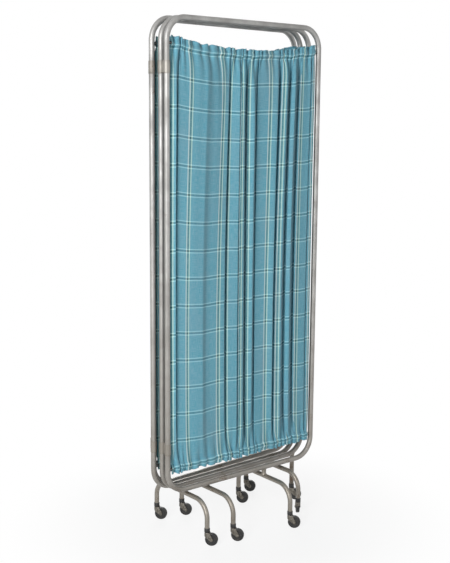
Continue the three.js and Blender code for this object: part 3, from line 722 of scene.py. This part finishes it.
def fork_side():
    round_over = (-FORK_OUTSIDE + FORK_ROUND_OVER, FORK_TOP - FORK_ROUND_OVER)
    run, rise = TRAIL + FORK_OUTSIDE, FORK_SKIRT_HEIGHT - WHEEL_RADIUS
    lower = math.asin(AXLE_EYE_RADIUS / math.hypot(run, rise)) - math.atan2(rise, run) - math.pi / 2
    outline = arc(round_over, FORK_ROUND_OVER, math.pi / 2, math.pi, FORK_ROUND_STEPS)
    outline.append((-FORK_OUTSIDE, FORK_SKIRT_HEIGHT))
    outline += arc((TRAIL, WHEEL_RADIUS), AXLE_EYE_RADIUS, lower, AXLE_EYE_END, AXLE_EYE_STEPS)
    return outline + [(FORK_OUTSIDE, FORK_TOP - FORK_EDGE), (FORK_OUTSIDE - FORK_EDGE, FORK_TOP)]


def fork_plan():
    back = TRAIL + 2 * AXLE_EYE_RADIUS
    outline = arc((0, 0), FORK_OUTSIDE, math.pi / 2, 3 * math.pi / 2, FORK_PLAN_STEPS)
    return outline + [(back, -FORK_OUTSIDE), (back, FORK_OUTSIDE)]


def cutter(points, faces):
    mesh = new_mesh("cutter", points, faces)
    bm = bmesh.new()
    bm.from_mesh(mesh)
    bmesh.ops.recalc_face_normals(bm, faces=bm.faces)
    bm.to_mesh(mesh)
    bm.free()
    return linked("cutter", mesh)


def cut(piece, other, operation):
    modifier = piece.modifiers.new("cut", "BOOLEAN")
    modifier.object = other
    modifier.operation = operation
    modifier.solver = "EXACT"


def applied(piece):
    """The piece's mesh with its modifiers worked in."""
    evaluated = piece.evaluated_get(bpy.context.evaluated_depsgraph_get())
    mesh = bpy.data.meshes.new_from_object(evaluated)
    piece.modifiers.clear()
    piece.data = mesh
    return mesh


def fork_mesh():
    """A fork: its side view cut to its plan, with room for the wheel and worn edges."""
    room_profile = [(WHEEL_RADIUS + TYRE_GAP, -FORK_INSIDE), (WHEEL_RADIUS + TYRE_GAP, FORK_INSIDE)]
    plan_top = LEG_FOOT_HEIGHT + FORK_OVERRUN
    base = cutter(*prism(fork_side(), -FORK_OUTSIDE, FORK_OUTSIDE, lambda x, z, y: (x, y, z)))
    plan = cutter(*prism(fork_plan(), 0.0, plan_top, lambda x, y, z: (x, y, z)))
    room = cutter(*turned(room_profile, WHEEL_SIDES, AXLE_PLACE, "Y"))
    cut(base, plan, "INTERSECT")
    cut(base, room, "DIFFERENCE")
    bpy.context.view_layer.update()
    applied(base)
    bevel = base.modifiers.new("edges", "BEVEL")
    bevel.width = FORK_BEVEL
    bevel.segments = 2
    bevel.limit_method = "ANGLE"
    bevel.angle_limit = math.radians(CAST_EDGE)
    mesh = applied(base)
    for other in (plan, room, base):
        bpy.data.objects.remove(other)
    finish_mesh(mesh, "castor_metal", CAST_EDGE)
    return mesh


def mirrored(half):
    """A whole profile about the wheel's middle, from the half of it on the +Y side."""
    return [(radius, -along) for radius, along in reversed(half)] + half


def wheel_profile():
    side = WHEEL_WIDTH / 2
    slope = TREAD_SLOPE_SHARE * WHEEL_SHOULDER
    return mirrored([
        (WHEEL_RADIUS, side - WHEEL_SHOULDER - slope),
        (WHEEL_RADIUS - slope, side - slope),
        (WHEEL_RADIUS - WHEEL_SHOULDER, side),
        (DISH_OUTER_RADIUS, side),
        (DISH_OUTER_RADIUS - DISH_SLOPE, side - DISH_DEPTH),
        (DISH_INNER_RADIUS + DISH_SLOPE, side - DISH_DEPTH),
        (DISH_INNER_RADIUS, side - HUB_DEPTH),
        (AXLE_RADIUS, side),
    ])


def rivet_profile():
    shoulder = FORK_OUTSIDE + CLEARANCE / 2
    end = shoulder + RIVET_HEIGHT
    return mirrored([
        (AXLE_RADIUS, shoulder),
        (RIVET_RADIUS, shoulder),
        (RIVET_RADIUS * RIVET_RIM_SHARE, shoulder + RIVET_RIM),
        (RIVET_RADIUS * RIVET_DOME_SHARE, end - RIVET_DOME),
        (RIVET_RADIUS * RIVET_CROWN_SHARE, end),
    ])


def stem_profile():
    return [
        (STEM_FLANGE_RADIUS, FORK_TOP - STEM_FLANGE_THICKNESS),
        (STEM_FLANGE_RADIUS, FORK_TOP),
        (STEM_RADIUS, FORK_TOP),
        (STEM_RADIUS, FORK_TOP + STEM_HEIGHT),
        (STEM_RADIUS - STEM_TIP, FORK_TOP + STEM_HEIGHT + STEM_TIP),
    ]


def make_castors():
    fork = fork_mesh()
    for number in CASTOR_NUMBERS:
        swivel = joint_place(f"castor_{number}_swivel")
        placing = upright_placing(swivel, turn_of(swivel, joint_place(f"wheel_{number}_spin")))
        body = f"castor_{number}"
        shell = linked(f"fork_{number}", fork.copy())
        finish_piece(shell, placing, body, "castor_metal", f"castor_fork_{number}")
        stem = turned(stem_profile(), PIN_SIDES)
        make_piece(f"stem_{number}", stem, "castor_metal", placing, body, sharp=PLATE_EDGE)
        rivet = turned(rivet_profile(), PIN_SIDES, AXLE_PLACE, "Y")
        names = (body, f"castor_axle_{number}")
        make_piece(f"rivet_{number}", rivet, "castor_metal", placing, *names, sharp=TURNED_EDGE)
        disc = turned(wheel_profile(), WHEEL_SIDES, AXLE_PLACE, "Y")
        names = (f"wheel_{number}", f"castor_wheel_{number}")
        make_piece(f"disc_{number}", disc, "black_tread", placing, *names, sharp=CAST_EDGE)


# The curtain wires

def sag_at(share, sag):
    return 4 * sag * share * (1 - share)


def wire(hook_height, sag):
    start = HOOK_REACH + EYE_RADIUS
    span = LEAF_WIDTH - 2 * start
    shares = np.linspace(0, 1, WIRE_STEPS + 1)
    path = [(start + span * share, 0, hook_height + EYE_RISE - sag_at(share, sag)) for share in shares]
    return tube(path, (0, 1, 0), WIRE_RADIUS, WIRE_SIDES)


def eye(x, hook_height):
    height = hook_height + EYE_RISE
    ring = [(x + EYE_RADIUS * cosine, EYE_RADIUS * sine, height) for cosine, sine in circle(EYE_STEPS)]
    return tube(ring, (0, 0, 1), EYE_WIRE_RADIUS, EYE_WIRE_SIDES, closed=True)


def make_wire(word, number, hook_height, sag):
    parts = [wire(hook_height, sag), eye(HOOK_REACH, hook_height), eye(LEAF_WIDTH - HOOK_REACH, hook_height)]
    names = (f"leaf_{number}", f"{word}_wire_{number}")
    return make_piece(f"{word}_spring_{number}", joined(parts), "spring_wire", LEAVES[number], *names)


# The curtains. A row of cloth is a path in the plan, given along the flat cloth, so that the cloth keeps its
# width however deep it folds. Panels face the front, and between them cloth is tucked away.

CURTAIN_SEEDS = {1: 11, 2: 22, 3: 33, 4: 44}
FLAT_STEPS = {1: 0.00225, 2: 0.0042, 3: 0.0042, 4: 0.0042}
FOLD_DEPTH = 0.022  # from the rearmost cloth to the foremost
FOLD_BACK = 0.008  # the rearmost cloth, behind the leaf's plane
CREASE_RADIUS = 0.0016
TUCK_MARGIN = 0.004  # that a tuck keeps from the far side of the panel it lies behind

# The front curtain's panels: where each starts and ends, as shares of the curtain's width, how far forward
# it is there, as shares of the fold depth, and where on the flat cloth it starts, in checks from the first
# stripe. A panel that starts where the one before it ends runs on without a tuck.
FRONT_PANEL_SHARES = [
    (0.000, 0.029, 0.30, 0.75, -0.030),
    (0.046, 0.120, 0.30, 0.55, 0.658),
    (0.120, 0.213, 0.55, 1.00, None),
    (0.213, 0.240, 1.00, 0.74, None),
    (0.240, 0.275, 0.74, 0.62, None),
    (0.275, 0.322, 0.62, 0.64, None),
    (0.322, 0.366, 0.64, 0.82, None),
    (0.385, 0.449, 0.35, 0.95, 3.000),
    (0.452, 0.480, 0.95, 1.05, 3.970),
    (0.513, 0.549, 0.50, 1.05, 4.977),
    (0.583, 0.664, 0.40, 0.72, 5.620),
    (0.664, 0.708, 0.72, 1.05, None),
    (0.738, 0.772, 0.50, 1.05, 6.915),
    (0.818, 0.838, 0.50, 1.05, 8.080),
    (0.884, 0.970, 0.45, 0.75, 8.900),
    (0.975, 1.000, 0.65, 0.75, 9.895),
]
# How far the front curtain's folds drift sideways on their way down, at shares of its width. The panels above
# are as they lie at the level height.
FRONT_DRIFT_SHARES = [
    (0.0, 0.0), (0.12, -0.034), (0.32, -0.043), (0.50, 0.010), (0.73, -0.026), (0.88, -0.018), (1.0, 0.0),
]
STRAIGHT_DRIFT_SHARES = [(0.0, 0.0), (1.0, 0.0)]
LEVEL_SHARE = 0.29
DRIFT_END_SHARE = 0.71

# The panels of a curtain that is hardly seen, by chance
SEEDED_PANEL_COUNT = 13
SEEDED_WIDTH_SHARES = (0.5, 1.5)
SEEDED_OPENING_SHARES = (0.004, 0.016)
SEEDED_LOW_SHARES = (0.3, 0.6)
SEEDED_HIGH_SHARES = (0.7, 1.0)
SEEDED_RISING_SHARE = 0.6
SEEDED_TUCK_SHARES = (0.3, 0.7)

# Gathers at the headings
GATHER_FLAT_SHARE = 0.2  # of a gather's cloth that lies flat beside its tuck
MATCH_LENGTH = 0.042  # over which a heading keeps in line with the folds below it
SPREAD_LENGTH = 0.110  # over which the gathers of a heading take up as much cloth as the folds below them
STEEPEST_GATHER = math.radians(128)
SLIGHTEST_GATHER = math.radians(52)
GATHER_ROUNDS = 40
GATHER_GAIN = 2
HANGING_GATHER_SHARE = 0.85  # of a gather's depth that is left below the stitches

# Chance along the flat cloth: the length over which each kind changes, its least and its most
GATHER_NOISE = (0.03, 0.0198, 0.0462)  # flat cloth in one gather
DECAY_NOISE = (0.035, 0.012, 0.067)  # length in which the gathers die away below the stitches
SWING_NOISE = (0.04, -0.06, 0.06)
PHASE_NOISE = (0.15, 0.0, 2 * math.pi)
RAGGED_NOISE = (0.012, -0.5, 0.5)
SLIP_NOISE = (0.045, -0.0035, 0.0035)
SWING_TURN = 1.6 * math.pi
RIPPLE = math.radians(1.3)
RIPPLE_COUNT = 9
RIPPLE_LEAST = (0.025, 0, -1.4)  # length, phase, and half turns of phase on the way down
RIPPLE_MOST = (0.13, 2 * math.pi, 1.4)

# Casings and frills
RAGGED_INSET = 0.04  # of flat cloth at each end of a frill that isn't ragged
RAGGED_SHARE = 0.34
FRILL_END_SHARE = 0.45  # how much higher the top frill stands towards its ends
FRILL_END_LIMIT_SHARE = 0.9
CASING_ROOM = 0.0030
CLOTH_GAP = 0.0004
# Each row's height as a share of the stitches' drop or of the frill, its bulge, and its gathers' depth
CASING_SHARES = [(-1.0, 0.0, 0.75), (-0.55, 0.7, 0.55), (-0.15, 1.0, 0.5), (0.25, 1.0, 0.5)]
FRILL_SHARES = [(0.4, 0.4, 0.8), (0.6, 0.1, 1.05), (0.85, 0.05, 1.3), (1.0, 0.0, 1.45)]
# Where the rows between the casings start and end on the way down, and how many there are
BODY_ROW_SHARES = [(0.002, 0.08, 28), (0.09, 0.91, 78), (0.92, 0.998, 28)]


def seeded_panel_shares(generator, width):
    widths = generator.uniform(*SEEDED_WIDTH_SHARES, SEEDED_PANEL_COUNT)
    ends = np.cumsum(widths) / widths.sum()
    panels, start, weave = [], 0.0, 0.0
    for index, end in enumerate(ends):
        opening = generator.uniform(*SEEDED_OPENING_SHARES) if index < SEEDED_PANEL_COUNT - 1 else 0.0
        low, high = generator.uniform(*SEEDED_LOW_SHARES), generator.uniform(*SEEDED_HIGH_SHARES)
        first, last = (low, high) if generator.uniform() < SEEDED_RISING_SHARE else (high, low)
        first = first if index else 0.0
        panels.append((start, end - opening, first, last, weave))
        weave += (end - start) * width / CHECK_WIDTH + generator.uniform(*SEEDED_TUCK_SHARES)
        start = end
    return panels


def tuck(before, after, hidden, room):
    """The points of cloth that dives back, runs on behind the next panel and comes forward to its edge."""
    (end_x, end_y), (start_x, start_y) = before, after
    gap = start_x - end_x
    rise = FOLD_BACK - start_y
    spare = hidden - math.hypot(gap, FOLD_BACK - end_y) - rise
    if spare <= 0:
        taken = hidden - end_y + start_y
        return [(start_x, end_y + (taken**2 - gap**2) / (2 * taken))]
    passes = 2 if spare / 2 <= room else 4
    reach = spare / passes
    points = [(start_x, FOLD_BACK)]
    for index, level in enumerate(np.linspace(FOLD_BACK, start_y + 2 * CREASE_RADIUS, passes)):
        ends = [(start_x, level), (start_x + reach, level)]
        points += ends if index % 2 == 0 else reversed(ends)
    return points


def section(panel_shares, width):
    """The curtain's section in the plan at the level height, as a list of points from its left edge."""
    points = []
    length = 0.0
    first_weave = panel_shares[0][-1]
    for start, end, first, last, weave in panel_shares:
        front = (start * width, FOLD_BACK - first * FOLD_DEPTH)
        back = (end * width, FOLD_BACK - last * FOLD_DEPTH)
        if points and weave is not None:
            hidden = (weave - first_weave) * CHECK_WIDTH - length
            room = max(back[0] - front[0] - TUCK_MARGIN, TUCK_MARGIN)
            points += tuck(points[-1], front, hidden, room)
            length += hidden
        points += [front, back]
        length += math.dist(front, back)
    return points


def fallen_share(down):
    """How much of the sideways drift the cloth has taken, at a share of the way down."""
    return math.sin(math.pi / 2 * min(down / DRIFT_END_SHARE, 1))


class Folds:
    """The folds of one curtain: where each place on the flat cloth lies in the plan."""

    def __init__(self, panel_shares, drift_shares, width, flat_step, generator):
        corners = np.array(section(panel_shares, width))
        along = np.concatenate(([0.0], np.cumsum(np.hypot(*np.diff(corners, axis=0).T))))
        self.generator = generator
        self.width = width
        self.flat_width = along[-1]
        self.columns = int(round(self.flat_width / flat_step))
        self.step = self.flat_width / self.columns
        self.places = np.linspace(0, self.flat_width, self.columns + 1)
        self.across, self.depth = [
            self.smoothed(np.interp(self.places, along, corners[:, axis]), 3 * CREASE_RADIUS)
            for axis in (0, 1)
        ]
        drifts = np.array(drift_shares)
        self.drift = width * np.interp(self.across / width, drifts[:, 0], drifts[:, 1])
        self.ripples = generator.uniform(RIPPLE_LEAST, RIPPLE_MOST, (RIPPLE_COUNT, len(RIPPLE_MOST)))
        self.swing = self.noise(*SWING_NOISE)
        self.swing_phase = self.noise(*PHASE_NOISE)
        self.gathered = self.gathered_path(self.noise(*GATHER_NOISE))
        self.decay = self.noise(*DECAY_NOISE)
        from_edge = np.minimum(self.places, self.flat_width - self.places)
        self.ragged = self.noise(*RAGGED_NOISE) * np.clip(from_edge / RAGGED_INSET, 0, 1)
        self.slip = self.noise(*SLIP_NOISE)

    def smoothed(self, values, length):
        reach = max(int(length / self.step), 1) + 1
        kernel = np.hanning(2 * reach + 1)
        padded = np.pad(values, reach, mode="reflect", reflect_type="odd")
        return np.convolve(padded, kernel / kernel.sum(), mode="valid")

    def noise(self, length, least, most):
        """Chance values along the flat cloth, one to each length, and what lies between them."""
        count = int(self.flat_width / length) + 3
        return np.interp(self.places / length, np.arange(count), self.generator.uniform(least, most, count))

    def gathered_path(self, gather_lengths):
        """The path of the cloth drawn up on a wire: fine gathers that take up what the folds below do."""
        turns = np.cumsum(self.step / gather_lengths) % 1
        tucked = np.clip((turns - GATHER_FLAT_SHARE) / (1 - GATHER_FLAT_SHARE), 0, 1)
        gathers = self.smoothed(np.sin(2 * math.pi * tucked), 2 * self.step)
        advance = self.smoothed(np.gradient(self.across, self.step), SPREAD_LENGTH)
        strength = np.ones(len(gathers))
        for _ in range(GATHER_ROUNDS):
            excess = self.smoothed(np.cos(strength * gathers), SPREAD_LENGTH) - advance
            strength = np.clip(strength + GATHER_GAIN * excess, SLIGHTEST_GATHER, STEEPEST_GATHER)
        gathered = self.step * np.cumsum(np.cos(strength * gathers))
        across = self.smoothed(self.across, MATCH_LENGTH) + gathered - self.smoothed(gathered, MATCH_LENGTH)
        depth = self.step * np.cumsum(np.sin(strength * gathers))
        depth -= self.smoothed(depth, MATCH_LENGTH)
        return (across - across[0]) / (across[-1] - across[0]) * self.width, depth

    def free(self, down):
        """The path of the cloth where it hangs free, at a share of the way down."""
        middle = FOLD_BACK - FOLD_DEPTH / 2
        swing = 1 + self.swing * np.sin(SWING_TURN * down + self.swing_phase)
        depth = middle + swing * (self.depth - middle)
        for length, phase, turn in self.ripples:
            wave_number = 2 * math.pi / length
            waves = np.sin(wave_number * self.places + phase + turn * down * math.pi)
            depth += RIPPLE / wave_number * waves
        return self.across + (fallen_share(down) - fallen_share(LEVEL_SHARE)) * self.drift, depth

    def row(self, down, near, scale):
        """The path of a row, as gathered as it is near a wire, with the depth of its gathers scaled."""
        free_across, free_depth = self.free(down)
        across, depth = self.gathered
        return (1 - near) * free_across + near * across, (1 - near) * free_depth + near * scale * depth


def curtain_edges(down):
    """The curtain's left and right edges, drawn in at the headings, the right one slack between them."""
    free = math.sin(math.pi * down) ** EDGE_BOW_POWER if 0 < down < 1 else 0.0
    left = HEADING_INSET + (EDGE_INSET - HEADING_INSET) * free
    return left, LEAF_WIDTH - left - RIGHT_EDGE_BOW * free


class Curtain:
    """The rows of one curtain: the cloth's places, each with its height on the flat cloth."""

    def __init__(self, number):
        generator = np.random.RandomState(CURTAIN_SEEDS[number])
        width = LEAF_WIDTH - 2 * EDGE_INSET - RIGHT_EDGE_BOW
        panel_shares, drift_shares = FRONT_PANEL_SHARES, FRONT_DRIFT_SHARES
        if number > 1:
            panel_shares, drift_shares = seeded_panel_shares(generator, width), STRAIGHT_DRIFT_SHARES
        self.folds = Folds(panel_shares, drift_shares, width, FLAT_STEPS[number], generator)
        self.rows = []

    def add(self, down, near, scale, shift, flat_height, height_at):
        left, right = curtain_edges(down)
        across, depth = self.folds.row(down, near, scale)
        share = across / self.folds.width
        flat_heights = flat_height + self.folds.slip
        places = (left + share * (right - left), depth + shift, height_at(share), flat_heights)
        self.rows.append(np.stack(places, axis=1))

    def casing(self, hook_height, sag, frill, direction, down):
        """Rows of one casing, from its stitches at the back over the frill's edge to those in front."""
        eye_height = hook_height + EYE_RISE
        swell = WIRE_RADIUS + CASING_ROOM
        profile = [(height * STITCH_DROP, bulge, scale) for height, bulge, scale in CASING_SHARES]
        profile += [(height * frill, bulge, scale) for height, bulge, scale in FRILL_SHARES]
        for side in (1, -1):
            for rise, bulge, scale in profile if side == 1 else reversed(profile):
                flat = eye_height + direction * (rise if side == -1 else 2 * frill - rise)

                def height_at(share, rise=rise):
                    from_middle = np.clip(2 * share - 1, -FRILL_END_LIMIT_SHARE, FRILL_END_LIMIT_SHARE)
                    ends = FRILL_END_SHARE * from_middle**4 if direction > 0 else 0.0
                    stretch = (ends + RAGGED_SHARE * self.folds.ragged) * max(rise, 0)
                    return eye_height - sag_at(share, sag) + direction * (rise + stretch)

                self.add(down, 1.0, scale, side * (CLOTH_GAP + bulge * swell), flat, height_at)

    def body(self):
        """The rows between the two casings' stitches."""
        drop = TOP_HOOK_HEIGHT - BOTTOM_HOOK_HEIGHT - 2 * STITCH_DROP
        for down in np.concatenate([np.linspace(*rows) for rows in BODY_ROW_SHARES]):
            near = np.exp(-down * drop / self.folds.decay) + np.exp(-(1 - down) * drop / self.folds.decay)

            def height_at(share, down=down):
                top = TOP_HOOK_HEIGHT + EYE_RISE - sag_at(share, TOP_WIRE_SAG) - STITCH_DROP
                bottom = BOTTOM_HOOK_HEIGHT + EYE_RISE - sag_at(share, BOTTOM_WIRE_SAG) + STITCH_DROP
                return top + down * (bottom - top)

            flat = TOP_HOOK_HEIGHT + EYE_RISE - STITCH_DROP - down * drop
            self.add(down, np.clip(near, 0, 1), HANGING_GATHER_SHARE, 0.0, flat, height_at)

    def piece(self, name, placing, *names):
        self.casing(TOP_HOOK_HEIGHT, TOP_WIRE_SAG, TOP_FRILL, 1, 0.0)
        self.body()
        upper = len(self.rows)
        self.casing(BOTTOM_HOOK_HEIGHT, BOTTOM_WIRE_SAG, BOTTOM_FRILL, -1, 1.0)
        self.rows[upper:] = reversed(self.rows[upper:])
        columns = self.folds.columns + 1
        points = np.concatenate(self.rows)
        faces = [
            (corner, corner + columns, corner + columns + 1, corner + 1)
            for row in range(len(self.rows) - 1)
            for corner in range(row * columns, (row + 1) * columns - 1)
        ]
        shape = (points[:, :3].tolist(), faces)
        made = make_piece(name, shape, "checked_cloth", placing, *names)
        across = np.tile(self.folds.places, len(self.rows))
        flat = np.stack((across, points[:, 3]), axis=1)
        layer = made.data.uv_layers.new(name="flat")
        corners = np.empty(len(made.data.loops), dtype=np.int32)
        made.data.loops.foreach_get("vertex_index", corners)
        layer.data.foreach_set("uv", flat[corners].ravel())
        return made


def make_curtain(number, wires):
    curtain = Curtain(number)
    names = (f"leaf_{number}", f"curtain_{number}")
    piece = curtain.piece(f"gathered_curtain_{number}", LEAVES[number], *names)


# The surroundings

def make_camera():
    camera = bpy.data.cameras.new("camera")
    camera.sensor_width = SENSOR
    camera.lens = FOCAL_PX / IMAGE_HEIGHT_PX * SENSOR
    camera.clip_end = FAR_CLIP
    made = linked("camera", camera)
    made.matrix_world = (
        Matrix.Translation(CAMERA_PLACE)
        @ Matrix.Rotation(-CAMERA_YAW, 4, "Z")
        @ Matrix.Rotation(math.pi / 2 - CAMERA_PITCH, 4, "X")
        @ Matrix.Rotation(CAMERA_ROLL, 4, "Z")
    )
    bpy.context.scene.camera = made


def make_light(name, place, target, size, power):
    light = bpy.data.lights.new(name, "AREA")
    light.shape = "RECTANGLE"
    light.size, light.size_y = size
    light.energy = power
    made = linked(name, light)
    made.location = place
    made.rotation_euler = (Vector(target) - Vector(place)).to_track_quat("-Z", "Y").to_euler()


def make_world():
    """White where the camera looks. For the light, a dim studio that is brighter low down."""
    world = bpy.data.worlds.new("studio")
    bpy.context.scene.world = world
    world.use_nodes = True
    studio = Shading(world.node_tree)
    studio.nodes.clear()
    direction = studio.node("TexCoord", {})["Generated"]
    height = studio.node("SeparateXYZ", {"Vector": direction})["Z"]
    tone = studio.remap(height, *STUDIO_SPANS)
    seen = studio.node("Background", {"Color": WHITE, "Strength": 1.0})
    lit = studio.node("Background", {"Color": tone, "Strength": STUDIO_STRENGTH})
    inputs = {0: studio.seen_share(), 1: lit["Background"], 2: seen["Background"]}
    chosen = studio.node("MixShader", inputs)["Shader"]
    studio.node("OutputWorld", {"Surface": chosen})


def floor_material():
    """Pale under the object, where it keeps the object's shadow, and plain white further off."""
    made = Material("floor")
    made.surfaced(FLOOR_SURFACE)
    from_middle = made.node("VectorMath", {0: made.place()}, operation="LENGTH")["Value"]
    far = made.remap(from_middle, *FLOOR_WHITE_SPANS)
    share = made.combine("MULTIPLY", far, made.seen_share())
    white = made.node("Emission", {"Color": WHITE, "Strength": 1.0})
    inputs = {0: share, 1: made.shader.outputs["BSDF"], 2: white["Emission"]}
    chosen = made.node("MixShader", inputs)["Shader"]
    made.feed(made.nodes["Material Output"].inputs["Surface"], chosen)
    return made.data


def make_floor():
    half = FLOOR_HALF_SIZE
    corners = [(-half, -half, 0), (half, -half, 0), (half, half, 0), (-half, half, 0)]
    mesh = new_mesh("floor", corners, [(0, 1, 2, 3)])
    mesh.materials.append(floor_material())
    linked("floor", mesh)


# The whole

make_camera()
for leaf in LEAVES:
    make_frame(leaf)
    make_hooks(leaf)
    make_rings(leaf)
    make_curtain(leaf, [
        make_wire("top", leaf, TOP_HOOK_HEIGHT, TOP_WIRE_SAG),
        make_wire("bottom", leaf, BOTTOM_HOOK_HEIGHT, BOTTOM_WIRE_SAG),
    ])
make_brackets("12", "link_12_on_leaf_1", "leaf_2_on_link_12")
make_brackets("23", "link_23_on_leaf_2", "leaf_3_on_link_23")
make_brackets("34", "link_34_on_leaf_3", "leaf_4_on_link_34")
for foot in FOOT_PLACES:
    make_arch_foot(foot)
make_post()
make_castors()
for light_name, values in LIGHTS.items():
    make_light(light_name, *values)
make_world()
make_floor()
bpy.context.scene.view_settings.view_transform = "Standard"
